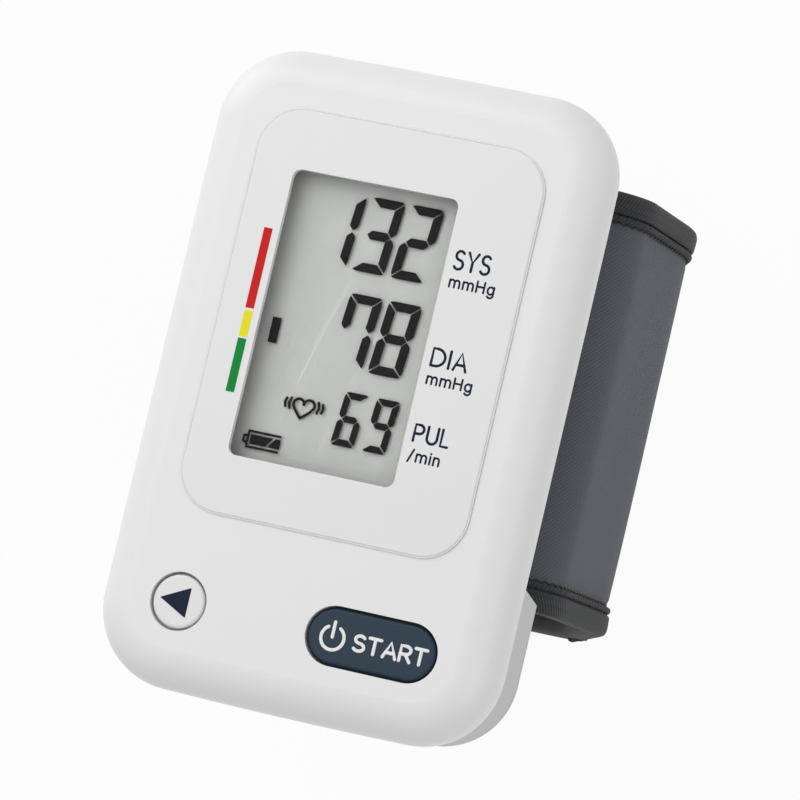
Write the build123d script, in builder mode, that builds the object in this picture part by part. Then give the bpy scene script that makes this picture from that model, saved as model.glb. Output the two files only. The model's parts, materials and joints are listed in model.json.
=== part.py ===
import os
from math import cos, radians, sqrt, tan

from build123d import *

# Wrist blood pressure monitor, standing on its closed cuff. Millimetres, +Z up, display facing up.
# X is the user's right when reading the display and +Y is the top of the display.
# The origin is on the table, under the middle of the case. A depth is measured down from the panel face.

# Case
body_length = 88.0
body_corner = 11.0
bottom_crown = 0.5
top_crown = 0.25
front_depth = 7.5
front_wall = 1.8
front_edge_round = 5.2
front_under_round = 1.4
rear_inset = 0.8
rear_wall = 1.4
rear_draft = 20.0
rear_edge_round = 3.0
saddle_depth = 18.6
seam_lip_height = 1.4
seam_lip_wall = 0.9

# Battery bulge at the lower end of the rear case
bulge_depth = 20.5
bulge_wall = 1.1
bulge_round = 5.0
bulge_end_lean = 11.0
bulge_length = 23.9
cover_split_depth = 15.6
cover_length = 17.5
cover_gap = 0.15
grip_pitch = 1.6
grip_count = 4
grip_length = 9.0
grip_width = 0.8
grip_depth = 0.4
latch_width = 8.0
latch_reach = 0.9
latch_thickness = 0.45

# Display panel, window and liquid crystal display
panel_width = 40.3
panel_length = 55.1
panel_corner = 6.0
panel_end_margin = 8.55
panel_thickness = 1.2
panel_lift = 0.35
panel_gap = 0.2
panel_seat = 2.0
panel_seat_thickness = 1.2
window_width = 23.5
window_length = 39.1
window_corner = 1.2
window_x = -2.62
lens_recess = 0.9
lens_thickness = 0.8
lens_ledge = 1.2
lcd_width = 27.0
lcd_length = 43.0
lcd_thickness = 1.4
lcd_gap = 0.15
reflector_thickness = 0.2
holder_wall = 0.9
holder_lip = 1.0
strip_width = 1.6

# Buttons
start_side_margin = 17.15
button_end_margin = 11.85
start_length = 17.75
start_width = 7.35
memory_side_margin = 11.9
memory_radius = 3.6
button_gap = 0.35
button_sink = 0.1
button_flange = 0.7
flange_thickness = 0.5
flange_clearance = 0.1
button_round = 0.4
dome_radius = 2.6
dome_wall = 0.3
dome_taper = 35.0
switch_pad_radius = 1.2
switch_pad_height = 0.05

# Circuit board
board_depth = 4.7
board_thickness = 0.8
board_clearance = 0.5
chip_width = 10.0
chip_height = 1.2
chip_x = -10.0
chip_drop = 10.9
lead_pitch = 1.0
lead_count = 9
lead_width = 0.4
lead_reach = 0.4
lead_thickness = 0.15
part_pitch = 2.6
part_count = 5
part_width = 1.2
part_length = 2.0
part_height = 0.6

# Batteries
cell_radius = 5.25
cell_length = 44.5
cell_end_round = 0.8
cell_cap_radius = 1.9
cell_cap_height = 0.9
cell_gap = 0.1
cell_end_margin = 9.25
cell_side_room = 5.95
lower_cell_depth = 14.0
upper_cell_depth = 11.9
tray_wall = 0.7
tray_end_wall = 1.0
contact_reach = 1.95
contact_width = 3.2
contact_thickness = 0.3
spring_wire = 0.6
spring_radius = 2.2
spring_pitch = 1.05
contact_taper = 20.0

# Pump and air parts
pump_side_margin = 10.0
pump_rise = 4.1
pump_depth = 9.2
pump_radius = 6.0
motor_length = 17.0
head_length = 9.0
head_width = 10.0
head_corner = 2.0
shaft_boss_length = 1.0
shaft_boss_radius = 2.0
port_length = 3.0
bracket_wall = 1.2
bracket_width = 8.0
bracket_inset = 0.9
port_radius = 1.2
nipple_radius = 1.5
tube_radius = 1.6
tube_wall = 0.5
valve_radius = 4.0
valve_length = 14.0
valve_side_margin = 11.2
valve_rise = 7.1
valve_height = 6.4
valve_corner = 1.0
sensor_width = 7.0
sensor_height = 3.0
sensor_rise = 0.1
manifold_x = 0.0
manifold_width = 5.0
air_depth = 12.2

# Cuff loop around the wrist
cuff_high_margin = 8.6
cuff_low_margin = 21.4
hem_width = 4.2
hem_thickness = 0.7
fabric_thickness = 0.8
stiffener_thickness = 0.7
bladder_thickness = 1.2
lining_thickness = 0.8
layer_gap = 0.05
cuff_top_depth = 19.4
loop_depth = 57.6
loop_top_half = 28.0
side_lean = 3.0
cheek_depth = 46.0
cheek_lean = 20.0
cheek_round = 20.0
loop_top_round = 6.5
loop_flat_half = 9.0
overlap_gap = 0.3
inner_end_depth = 36.0
bladder_margin = 3.0
hinge_depth = 29.0
hinge_gap = 0.3
flap_end_angle = 32.0
hook_thickness = 0.8
hook_length_margin = 3.0
loop_pad_thickness = 0.35
pad_margin = 0.5

# Fasteners
screw_radius = 1.0
screw_head_radius = 1.7
screw_head_height = 1.1
screw_length = 8.0
screw_clearance = 0.1
screw_seat = 1.6
slot_width = 0.5
boss_radius = 2.6
top_screw_side_margin = 11.2
top_screw_margin = 9.5
low_screw_side_margin = 8.2
low_post_gap = 0.66
plate_sink = 1.2
plate_width = 34.0
plate_end_margin = 7.0
plate_corner = 3.0
plate_screw_x = 8.5
plate_screw_margin = 5.0
plate_screw_length = 2.2

wall_thickness = (
    fabric_thickness + stiffener_thickness + bladder_thickness + lining_thickness + 3 * layer_gap
)
flap_step = wall_thickness + overlap_gap
front_z = cuff_top_depth + loop_depth + flap_step + hem_thickness
# The case is as wide as a cell with its contacts and walls, and its parts keep to their own end of it
body_width = cell_length + 2 * cell_side_room
low_end_y = -body_length / 2
high_end_y = body_length / 2
start_x = body_width / 2 - start_side_margin
memory_x = memory_side_margin - body_width / 2
pump_x = body_width / 2 - pump_side_margin
valve_x = valve_side_margin - body_width / 2
top_screw_x = body_width / 2 - top_screw_side_margin
low_screw_x = body_width / 2 - low_screw_side_margin
panel_y = high_end_y - panel_end_margin - panel_length / 2
button_y = low_end_y + button_end_margin
bulge_end_y = low_end_y + bulge_length
cover_end_y = low_end_y + cover_length
lower_cell_y = low_end_y + cell_end_margin
upper_cell_y = lower_cell_y + sqrt(
    (2 * cell_radius + cell_gap) ** 2 - (lower_cell_depth - upper_cell_depth) ** 2
)
tray_high_y = upper_cell_y + cell_radius + cell_gap
top_screw_y = high_end_y - top_screw_margin
low_screw_y = tray_high_y + tray_end_wall + boss_radius + low_post_gap
cuff_low_y = low_end_y + cuff_low_margin
cuff_high_y = high_end_y - cuff_high_margin
cuff_centre_y = (cuff_low_y + cuff_high_y) / 2
plate_length = cuff_high_y - cuff_low_y - 2 * plate_end_margin
plate_screw_y = plate_length / 2 - plate_screw_margin

# What lies beside or under the display keeps its place to it
pump_y = panel_y + pump_rise
valve_y = panel_y + valve_rise
sensor_y = panel_y + sensor_rise
chip_y = panel_y - chip_drop
manifold_y = pump_y + motor_length / 2
nipple_top_depth = air_depth + manifold_width / 2
pump_half_length = (motor_length + head_length) / 2
lens_depth = lens_recess + lens_thickness
lcd_depth = lens_depth + lcd_gap
board_low_depth = board_depth + board_thickness
lens_width = window_width + 2 * lens_ledge
lens_length = window_length + 2 * lens_ledge
well_width = max(lcd_width, lens_width) + 2 * lcd_gap
well_length = max(lcd_length, lens_length) + 2 * lcd_gap


def level(depth):
    """The horizontal plane at a depth below the panel face."""
    return Plane.XY.offset(front_z - depth)


def save(piece, name):
    piece.part.label = name
    export_step(piece.part, f"parts/{name}.step")


def case_outline(inset):
    """The case seen from above, with its slightly crowned ends, drawn in by an inset."""
    half_x = body_width / 2 - inset
    low_y = -body_length / 2 + inset
    high_y = body_length / 2 - inset
    with BuildSketch() as outline:
        with BuildLine():
            Line((half_x, low_y + bottom_crown), (half_x, high_y - top_crown))
            ThreePointArc((half_x, high_y - top_crown), (0, high_y), (-half_x, high_y - top_crown))
            Line((-half_x, high_y - top_crown), (-half_x, low_y + bottom_crown))
            ThreePointArc((-half_x, low_y + bottom_crown), (0, low_y), (half_x, low_y + bottom_crown))
        make_face()
        fillet(outline.vertices(), body_corner - inset)
    return outline.sketch


def front_form(inset):
    """The closed outer form of the front case, drawn in by an inset."""
    with BuildPart() as form:
        with BuildSketch(level(front_depth)):
            add(case_outline(inset))
        extrude(amount=front_depth - panel_lift - inset)
        fillet(form.faces().sort_by(Axis.Z)[-1].edges(), front_edge_round - inset)
    return form.part


def rear_form(inset):
    """The closed form of the rear case above the wrist, narrowing towards the cuff."""
    with BuildPart() as form:
        height = saddle_depth - inset - front_depth
        with BuildSketch(level(front_depth)):
            add(case_outline(rear_inset + inset))
        with BuildSketch(level(front_depth + height)):
            add(case_outline(rear_inset + inset + height * tan(radians(rear_draft))))
        loft(ruled=True)
        fillet(form.faces().sort_by(Axis.Z)[0].edges(), rear_edge_round)
    return form.part


def bulge_form(inset):
    """The battery bulge, with a leaning upper end and rounded lower edges."""
    low_depth = bulge_depth - inset
    end_y = bulge_end_y - inset
    far_y = end_y - (low_depth - front_depth) * tan(radians(bulge_end_lean))
    with BuildPart() as form:
        with BuildSketch(Plane.YZ):
            with BuildLine():
                Polyline(
                    (-body_length / 2, front_z - front_depth),
                    (end_y, front_z - front_depth),
                    (far_y, front_z - low_depth),
                    (-body_length / 2, front_z - low_depth),
                    close=True,
                )
            make_face()
        extrude(amount=body_width / 2, both=True)
        with BuildSketch(level(front_depth)):
            add(case_outline(rear_inset + inset))
        extrude(amount=-(low_depth - front_depth), mode=Mode.INTERSECT)
        fillet(form.faces().sort_by(Axis.Z)[0].edges(), bulge_round - inset)
    return form.part


def back_form(rear, bulge):
    """The rear case and its bulge as one form, each drawn in by its own inset."""
    with BuildPart() as form:
        add(rear_form(rear))
        add(bulge_form(bulge))
    return form.part


os.makedirs("parts", exist_ok=True)

# Front case: crowned face, seat for the display panel, openings for both buttons, screw posts
post_places = [
    (top_screw_x, top_screw_y),
    (-top_screw_x, top_screw_y),
    (low_screw_x, low_screw_y),
    (-low_screw_x, low_screw_y),
]
post_depth = front_depth + screw_seat
screw_seat_depth = post_depth + screw_seat
screw_tip_depth = screw_seat_depth - screw_length
with BuildPart() as front_case:
    add(front_form(0))
    fillet(front_case.faces().sort_by(Axis.Z)[0].edges(), front_under_round)
    add(front_form(front_wall), mode=Mode.SUBTRACT)
    with BuildSketch(level(panel_thickness)):
        with Locations((0, panel_y)):
            RectangleRounded(panel_width + 2 * panel_seat, panel_length + 2 * panel_seat, panel_corner)
    extrude(amount=-panel_seat_thickness)
    with BuildSketch(level(panel_thickness)):
        with Locations(*post_places):
            Circle(boss_radius)
    extrude(amount=-(post_depth - panel_thickness))
    with BuildSketch(level(panel_thickness)):
        with Locations((0, panel_y)):
            RectangleRounded(
                panel_width + 2 * panel_gap, panel_length + 2 * panel_gap, panel_corner + panel_gap
            )
    extrude(amount=front_depth, mode=Mode.SUBTRACT)
    with BuildSketch(level(0)):
        with Locations((window_x, panel_y)):
            Rectangle(well_width, well_length)
        with Locations((start_x, button_y)):
            SlotOverall(start_length + 2 * button_gap, start_width + 2 * button_gap)
        with Locations((memory_x, button_y)):
            Circle(memory_radius + button_gap)
    extrude(amount=-front_depth, mode=Mode.SUBTRACT)
    with BuildSketch(level(post_depth)):
        with Locations(*post_places):
            Circle(screw_radius + screw_clearance)
    extrude(amount=post_depth - screw_tip_depth + screw_clearance, mode=Mode.SUBTRACT)
save(front_case, "front_case")

# Rear case: tub for the works, battery bulge, tray over the cells, seam lip and screw posts
tray_top_depth = upper_cell_depth - cell_radius - cell_gap - tray_wall
lip_inset = front_wall + panel_gap
lip_depth = front_depth - seam_lip_height
plate_depth = saddle_depth - plate_sink
floor_depth = plate_depth - rear_wall
contact_x = cell_length / 2 + contact_reach
counterbore_radius = screw_head_radius + screw_clearance
with BuildPart() as cell_walls:
    with BuildSketch(level(front_depth)):
        with Locations((0, tray_high_y)):
            Rectangle(body_width, tray_end_wall, align=(Align.CENTER, Align.MIN))
        for side in (-1, 1):
            with Locations((side * (contact_x + contact_thickness + layer_gap), tray_high_y)):
                Rectangle(
                    body_width / 2 - contact_x,
                    tray_high_y + body_length / 2,
                    align=(Align.MIN if side > 0 else Align.MAX, Align.MAX),
                )
    extrude(amount=-(cover_split_depth - front_depth))
    add(back_form(rear_wall / 2, bulge_wall / 2), mode=Mode.INTERSECT)
with BuildPart() as tray:
    with BuildSketch(level(tray_top_depth)):
        add(case_outline(lip_inset))
        with Locations((0, tray_high_y + tray_end_wall)):
            Rectangle(body_width, body_length, align=(Align.CENTER, Align.MIN), mode=Mode.SUBTRACT)
    extrude(amount=-(front_depth + rear_wall - tray_top_depth))
    with BuildSketch(level(tray_top_depth + tray_wall)):
        Rectangle(2 * (contact_x + contact_thickness + layer_gap), body_length)
        with Locations((0, tray_high_y)):
            Rectangle(body_width, body_length, align=(Align.CENTER, Align.MIN), mode=Mode.SUBTRACT)
        add(case_outline(lip_inset + seam_lip_wall), mode=Mode.INTERSECT)
    extrude(amount=-(front_depth + rear_wall - tray_top_depth), mode=Mode.SUBTRACT)
with BuildPart() as rear_case:
    add(back_form(0, 0))
    add(back_form(rear_wall, bulge_wall), mode=Mode.SUBTRACT)
    with BuildSketch(level(floor_depth)):
        with Locations((0, panel_y)):
            RectangleRounded(plate_width + 2 * rear_wall, plate_length + 2 * rear_wall, plate_corner)
        with Locations(*post_places):
            Circle(boss_radius)
    extrude(amount=-(saddle_depth - floor_depth))
    with BuildSketch(level(post_depth)):
        with Locations(*post_places):
            Circle(boss_radius)
    extrude(amount=-(saddle_depth - post_depth))
    add(tray.part)
    add(cell_walls.part)
    with BuildSketch(level(front_depth + rear_wall)):
        add(case_outline(lip_inset))
        add(case_outline(lip_inset + seam_lip_wall), mode=Mode.SUBTRACT)
    extrude(amount=front_depth + rear_wall - lip_depth)
    with BuildSketch(level(plate_depth)):
        with Locations((0, panel_y)):
            RectangleRounded(
                plate_width + 2 * layer_gap, plate_length + 2 * layer_gap, plate_corner + layer_gap
            )
    extrude(amount=-front_depth, mode=Mode.SUBTRACT)
    with BuildSketch(level(post_depth)):
        with Locations(*post_places):
            Circle(screw_radius + screw_clearance)
        with Locations((0, panel_y)):
            with GridLocations(2 * plate_screw_x, 2 * plate_screw_y, 2, 2):
                Circle(screw_radius + screw_clearance)
        with Locations((manifold_x, manifold_y)):
            Circle(port_radius + tube_wall)
    extrude(amount=-saddle_depth, mode=Mode.SUBTRACT)
    with BuildSketch(level(screw_seat_depth)):
        with Locations(*post_places):
            Circle(counterbore_radius)
    extrude(amount=-saddle_depth, mode=Mode.SUBTRACT)
    with BuildSketch(level(cover_split_depth)):
        with Locations((0, cover_end_y)):
            Rectangle(body_width, body_length, align=(Align.CENTER, Align.MAX))
    extrude(amount=-saddle_depth, mode=Mode.SUBTRACT)
    with BuildSketch(level(bulge_depth - bulge_wall + latch_thickness + layer_gap)):
        with Locations((0, cover_end_y)):
            Rectangle(latch_width + 2 * cover_gap, latch_reach, align=(Align.CENTER, Align.MIN))
    extrude(amount=bulge_wall, mode=Mode.SUBTRACT)
save(rear_case, "rear_case")

# Battery cover: the lower shell of the bulge, open at its upper end, with grip ridges and a tongue
# that laps over the rear case's edge and clears the cells when the cover slides off
with BuildPart() as battery_cover:
    add(bulge_form(0))
    add(bulge_form(bulge_wall), mode=Mode.SUBTRACT)
    with BuildSketch(level(cover_split_depth + cover_gap)):
        with Locations((0, cover_end_y - cover_gap)):
            Rectangle(body_width, body_length, align=(Align.CENTER, Align.MAX))
    extrude(amount=-saddle_depth, mode=Mode.INTERSECT)
    with BuildSketch(level(bulge_depth)):
        with Locations((0, lower_cell_y)):
            with GridLocations(0, grip_pitch, 1, grip_count):
                SlotOverall(grip_length, grip_width)
    extrude(amount=grip_depth, mode=Mode.SUBTRACT)
    with BuildSketch(level(bulge_depth - bulge_wall)):
        with Locations((0, cover_end_y - cover_gap)):
            Rectangle(latch_width, 2 * latch_reach)
    extrude(amount=-latch_thickness)
save(battery_cover, "battery_cover")

# Display panel with the window opening, and the clear window seated behind its ledge
with BuildPart() as display_panel:
    with BuildSketch(level(0)):
        with Locations((0, panel_y)):
            RectangleRounded(panel_width, panel_length, panel_corner)
    extrude(amount=-panel_thickness)
    fillet(display_panel.faces().sort_by(Axis.Z)[-1].edges(), panel_gap)
    with BuildSketch(level(0)):
        with Locations((window_x, panel_y)):
            RectangleRounded(window_width, window_length, window_corner)
    extrude(amount=-panel_thickness, mode=Mode.SUBTRACT)
    with BuildSketch(level(lens_recess)):
        with Locations((window_x, panel_y)):
            Rectangle(lens_width + 2 * panel_gap, lens_length + 2 * panel_gap)
    extrude(amount=-panel_thickness, mode=Mode.SUBTRACT)
save(display_panel, "display_panel")

with BuildPart() as display_window:
    with BuildSketch(level(lens_recess)):
        with Locations((window_x, panel_y)):
            Rectangle(lens_width, lens_length)
    extrude(amount=-lens_thickness)
save(display_window, "display_window")

# Liquid crystal display in its holder, with the reflector behind it and a connector strip at each end
lcd_low_depth = lcd_depth + lcd_thickness
reflector_low_depth = lcd_low_depth + reflector_thickness
with BuildPart() as lcd_glass:
    with BuildSketch(level(lcd_depth)):
        with Locations((window_x, panel_y)):
            Rectangle(lcd_width, lcd_length)
    extrude(amount=-lcd_thickness / 2)
    with BuildSketch(level(lcd_depth + lcd_thickness / 2)):
        with Locations((window_x, panel_y)):
            Rectangle(lcd_width, lcd_length - 2 * strip_width)
    extrude(amount=-lcd_thickness / 2)
save(lcd_glass, "lcd_glass")

with BuildPart() as lcd_reflector:
    with BuildSketch(level(lcd_low_depth)):
        with Locations((window_x, panel_y)):
            Rectangle(lcd_width - 2 * holder_lip, lcd_length - 2 * strip_width)
    extrude(amount=-reflector_thickness)
save(lcd_reflector, "lcd_reflector")

with BuildPart() as lcd_connectors:
    with BuildSketch(level(lcd_depth + lcd_thickness / 2)):
        with Locations((window_x, panel_y)):
            with GridLocations(0, lcd_length - strip_width, 1, 2):
                Rectangle(lcd_width - 2 * holder_lip, strip_width - 2 * layer_gap)
    extrude(amount=-(board_depth - lcd_depth - lcd_thickness / 2))
save(lcd_connectors, "lcd_connectors")

holder_width = lcd_width + 2 * lcd_gap + 2 * holder_wall
holder_length = lcd_length + 2 * lcd_gap + 2 * holder_wall
holder_top_depth = max(panel_lift + front_wall, panel_thickness + panel_seat_thickness) + layer_gap
with BuildPart() as lcd_holder:
    with BuildSketch(level(holder_top_depth)):
        with Locations((window_x, panel_y)):
            Rectangle(holder_width, holder_length)
    extrude(amount=-(board_depth - holder_top_depth))
    with BuildSketch(level(0)):
        with Locations((window_x, panel_y)):
            Rectangle(lcd_width + 2 * lcd_gap, lcd_length + 2 * lcd_gap)
    extrude(amount=-(reflector_low_depth + layer_gap), mode=Mode.SUBTRACT)
    with BuildSketch(level(0)):
        with Locations((window_x, panel_y)):
            Rectangle(lcd_width - 2 * holder_lip, lcd_length + 2 * lcd_gap)
    extrude(amount=-board_depth, mode=Mode.SUBTRACT)
save(lcd_holder, "lcd_holder")

# Buttons: each cap stands in its opening and a flange behind the wall keeps it in
button_depth = panel_lift + button_sink
flange_depth = panel_lift + front_wall + flange_clearance
flange_low_depth = flange_depth + flange_thickness
with BuildPart() as start_button:
    with BuildSketch(level(button_depth)):
        with Locations((start_x, button_y)):
            SlotOverall(start_length, start_width)
    extrude(amount=-(flange_low_depth - button_depth))
    fillet(start_button.faces().sort_by(Axis.Z)[-1].edges(), button_round)
    with BuildSketch(level(flange_depth)):
        with Locations((start_x, button_y)):
            SlotOverall(
                start_length + 2 * (button_gap + button_flange),
                start_width + 2 * (button_gap + button_flange),
            )
    extrude(amount=-flange_thickness)
save(start_button, "start_button")

with BuildPart() as memory_button:
    with BuildSketch(level(button_depth)):
        with Locations((memory_x, button_y)):
            Circle(memory_radius)
    extrude(amount=-(flange_low_depth - button_depth))
    fillet(memory_button.faces().sort_by(Axis.Z)[-1].edges(), button_round)
    with BuildSketch(level(flange_depth)):
        with Locations((memory_x, button_y)):
            Circle(memory_radius + button_gap + button_flange)
    extrude(amount=-flange_thickness)
save(memory_button, "memory_button")


def dome(x):
    """A rubber button dome on the circuit board, hollow below, one layer gap under its button."""
    dome_height = board_depth - flange_low_depth - layer_gap
    with BuildPart() as form:
        with BuildSketch(level(board_depth)):
            with Locations((x, button_y)):
                Circle(dome_radius)
        extrude(amount=dome_height, taper=dome_taper)
        with BuildSketch(level(board_depth)):
            with Locations((x, button_y)):
                Circle(dome_radius - dome_wall)
        extrude(amount=dome_height - dome_wall, taper=dome_taper, mode=Mode.SUBTRACT)
    return form


start_dome = dome(start_x)
save(start_dome, "start_dome")
memory_dome = dome(memory_x)
save(memory_dome, "memory_dome")

with BuildPart() as switch_pads:
    with BuildSketch(level(board_depth)):
        with Locations((start_x, button_y), (memory_x, button_y)):
            Circle(switch_pad_radius)
    extrude(amount=switch_pad_height)
save(switch_pads, "switch_pads")

# Circuit board with a cut for the pump, and the parts soldered to its lower face
board_high_y = top_screw_y - boss_radius - board_clearance
pump_side_x = pump_x - pump_radius - board_clearance
with BuildPart() as circuit_board:
    with BuildSketch(level(board_depth)):
        add(case_outline(lip_inset + seam_lip_wall + board_clearance))
        with Locations((0, board_high_y)):
            Rectangle(body_width, body_length, align=(Align.CENTER, Align.MIN), mode=Mode.SUBTRACT)
        with Locations((pump_side_x, pump_y - pump_half_length - board_clearance)):
            Rectangle(body_width, body_length, align=(Align.MIN, Align.MIN), mode=Mode.SUBTRACT)
        with Locations(*post_places):
            Circle(boss_radius + board_clearance, mode=Mode.SUBTRACT)
    extrude(amount=-board_thickness)
save(circuit_board, "circuit_board")

with BuildPart() as main_chip:
    with BuildSketch(level(board_low_depth)):
        with Locations((chip_x, chip_y)):
            Rectangle(chip_width, chip_width)
    extrude(amount=-chip_height)
    with BuildSketch(level(board_low_depth)):
        with Locations((chip_x, chip_y)):
            with GridLocations(lead_pitch, chip_width + 2 * lead_reach, lead_count, 2):
                Rectangle(lead_width, 2 * lead_reach)
            with GridLocations(chip_width + 2 * lead_reach, lead_pitch, 2, lead_count):
                Rectangle(2 * lead_reach, lead_width)
    extrude(amount=-lead_thickness)
save(main_chip, "main_chip")

with BuildPart() as board_parts:
    with BuildSketch(level(board_low_depth)):
        with Locations((chip_x, chip_y)):
            with GridLocations(part_pitch, 2 * chip_width, part_count, 2):
                Rectangle(part_width, part_length)
    extrude(amount=-part_height)
save(board_parts, "board_parts")

# Two AAA cells side by side and the other way round, with a spring and a plate contact each
cell_rows = [(lower_cell_y, lower_cell_depth, 1), (upper_cell_y, upper_cell_depth, -1)]
can_length = cell_length - cell_cap_height
with BuildPart() as battery_cells:
    for cell_y, cell_depth, side in cell_rows:
        low_end = Plane((-side * cell_length / 2, cell_y, front_z - cell_depth), z_dir=(side, 0, 0))
        with BuildSketch(low_end):
            Circle(cell_radius)
        extrude(amount=can_length)
    fillet(battery_cells.edges().filter_by(GeomType.CIRCLE), cell_end_round)
    for cell_y, cell_depth, side in cell_rows:
        cap_end = Plane((side * cell_length / 2, cell_y, front_z - cell_depth), z_dir=(-side, 0, 0))
        with BuildSketch(cap_end):
            Circle(cell_cap_radius)
        extrude(amount=cell_cap_height)
save(battery_cells, "battery_cells")

with BuildPart() as battery_contacts:
    for cell_y, cell_depth, side in cell_rows:
        for end in (-1, 1):
            with BuildSketch(Plane((end * contact_x, cell_y, front_z - cell_depth), z_dir=(end, 0, 0))):
                Rectangle(contact_width, contact_width)
            extrude(amount=contact_thickness)
        with BuildSketch(Plane((side * contact_x, cell_y, front_z - cell_depth), z_dir=(-side, 0, 0))):
            Circle(cell_cap_radius)
        extrude(amount=contact_reach - layer_gap, taper=contact_taper)
save(battery_contacts, "battery_contacts")

with BuildPart() as battery_springs:
    for cell_y, cell_depth, side in cell_rows:
        spring_x = -side * (cell_length / 2 + spring_wire / 2 + layer_gap)
        with BuildLine() as coil:
            Helix(
                spring_pitch,
                contact_reach - spring_wire - 2 * layer_gap,
                spring_radius,
                center=(spring_x, cell_y, front_z - cell_depth),
                direction=(-side, 0, 0),
            )
        with BuildSketch(coil.line ^ 0):
            Circle(spring_wire / 2)
        sweep(path=coil.line, is_frenet=True)
save(battery_springs, "battery_springs")

# Pump beside the display: motor, diaphragm head with its outlet, and a saddle bracket on the rear case
head_y = pump_y + pump_half_length - head_length
motor_y = pump_y - pump_half_length
with BuildPart() as pump_motor:
    with BuildSketch(Plane((pump_x, motor_y, front_z - pump_depth), z_dir=(0, 1, 0))):
        Circle(pump_radius)
    extrude(amount=motor_length)
    fillet(pump_motor.faces().sort_by(Axis.Y)[0].edges(), shaft_boss_length / 2)
    with BuildSketch(Plane((pump_x, motor_y, front_z - pump_depth), z_dir=(0, -1, 0))):
        Circle(shaft_boss_radius)
    extrude(amount=shaft_boss_length)
save(pump_motor, "pump_motor")

with BuildPart() as pump_head:
    with BuildSketch(Plane((pump_x, head_y + layer_gap, front_z - pump_depth), z_dir=(0, 1, 0))):
        RectangleRounded(head_width, head_width, head_corner)
    extrude(amount=head_length - layer_gap)
    port_x = pump_x - head_width / 2
    with BuildSketch(Plane((port_x, manifold_y, front_z - air_depth), z_dir=(-1, 0, 0))):
        Circle(port_radius)
    extrude(amount=port_length)
save(pump_head, "pump_head")

with BuildPart() as pump_bracket:
    with BuildSketch(level(floor_depth - layer_gap)):
        with Locations((pump_x, pump_y - head_length / 2)):
            with GridLocations(0, motor_length - bracket_wall - 2 * bracket_inset, 1, 2):
                Rectangle(bracket_width, bracket_wall)
    extrude(amount=floor_depth - layer_gap - pump_depth)
    with BuildSketch(Plane((pump_x, motor_y, front_z - pump_depth), z_dir=(0, 1, 0))):
        Circle(pump_radius + layer_gap)
    extrude(amount=motor_length, mode=Mode.SUBTRACT)
save(pump_bracket, "pump_bracket")

# Exhaust valve, pressure sensor and the manifold that joins them to the pump and the cuff
with BuildPart() as exhaust_valve:
    with BuildSketch(
        Plane((valve_x, valve_y - valve_length / 2, front_z - air_depth), (1, 0, 0), (0, 1, 0))
    ):
        RectangleRounded(2 * valve_radius, valve_height, valve_corner)
    extrude(amount=valve_length)
    with BuildSketch(Plane((valve_x + valve_radius, manifold_y, front_z - air_depth), z_dir=(1, 0, 0))):
        Circle(port_radius)
    extrude(amount=port_length)
save(exhaust_valve, "exhaust_valve")

with BuildPart() as pressure_sensor:
    with BuildSketch(level(board_low_depth)):
        with Locations((manifold_x, sensor_y)):
            Rectangle(sensor_width, sensor_width)
    extrude(amount=-sensor_height)
    with BuildSketch(level(board_low_depth + sensor_height)):
        with Locations((manifold_x, sensor_y)):
            Circle(sensor_width / 2 - tube_wall)
    extrude(amount=-(air_depth + port_radius + tube_wall - board_low_depth - sensor_height))
    with BuildSketch(Plane((manifold_x, sensor_y, front_z - air_depth), z_dir=(0, 1, 0))):
        Circle(port_radius)
    extrude(amount=sensor_width / 2 + port_length)
save(pressure_sensor, "pressure_sensor")

with BuildPart() as air_manifold:
    with BuildSketch(level(air_depth - manifold_width / 2)):
        with Locations((manifold_x, manifold_y)):
            RectangleRounded(manifold_width, manifold_width, valve_corner)
    extrude(amount=-manifold_width)
    for direction in ((1, 0, 0), (-1, 0, 0), (0, -1, 0)):
        with BuildSketch(Plane((manifold_x, manifold_y, front_z - air_depth), z_dir=direction)):
            Circle(port_radius)
        extrude(amount=manifold_width / 2 + port_length)
    with BuildSketch(level(air_depth)):
        with Locations((manifold_x, manifold_y)):
            Circle(port_radius)
    extrude(amount=-(nipple_top_depth - air_depth - layer_gap))
save(air_manifold, "air_manifold")


def tube(start, end):
    """A straight soft tube pushed over two ports that face each other."""
    path = Line(start, end)
    with BuildPart() as form:
        with BuildSketch(Plane(path @ 0, z_dir=path % 0)):
            Circle(port_radius + layer_gap + tube_wall)
            Circle(port_radius + layer_gap, mode=Mode.SUBTRACT)
        extrude(amount=path.length)
    return form.part


air_z = front_z - air_depth
manifold_reach = manifold_width / 2 + layer_gap
with BuildPart() as air_tubes:
    pump_face_x = pump_x - head_width / 2 - layer_gap
    valve_face_x = valve_x + valve_radius + layer_gap
    sensor_face_y = sensor_y + sensor_width / 2 + layer_gap
    add(tube((manifold_x + manifold_reach, manifold_y, air_z), (pump_face_x, manifold_y, air_z)))
    add(tube((manifold_x - manifold_reach, manifold_y, air_z), (valve_face_x, manifold_y, air_z)))
    add(tube((manifold_x, manifold_y - manifold_reach, air_z), (manifold_x, sensor_face_y, air_z)))
save(air_tubes, "air_tubes")

# Cuff retainer plate in its recess, the screws from inside the case, and the air nipple into the cuff
plate_low_depth = cuff_top_depth - layer_gap
with BuildPart() as cuff_plate:
    with BuildSketch(level(plate_depth + layer_gap)):
        with Locations((0, panel_y)):
            RectangleRounded(plate_width, plate_length, plate_corner)
    extrude(amount=-(plate_low_depth - plate_depth - layer_gap))
    with BuildSketch(level(plate_depth)):
        with Locations((0, panel_y)):
            with GridLocations(2 * plate_screw_x, 2 * plate_screw_y, 2, 2):
                Circle(screw_radius + layer_gap)
        with Locations((manifold_x, manifold_y)):
            Circle(nipple_radius + layer_gap)
    extrude(amount=-front_depth, mode=Mode.SUBTRACT)
save(cuff_plate, "cuff_plate")

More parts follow.
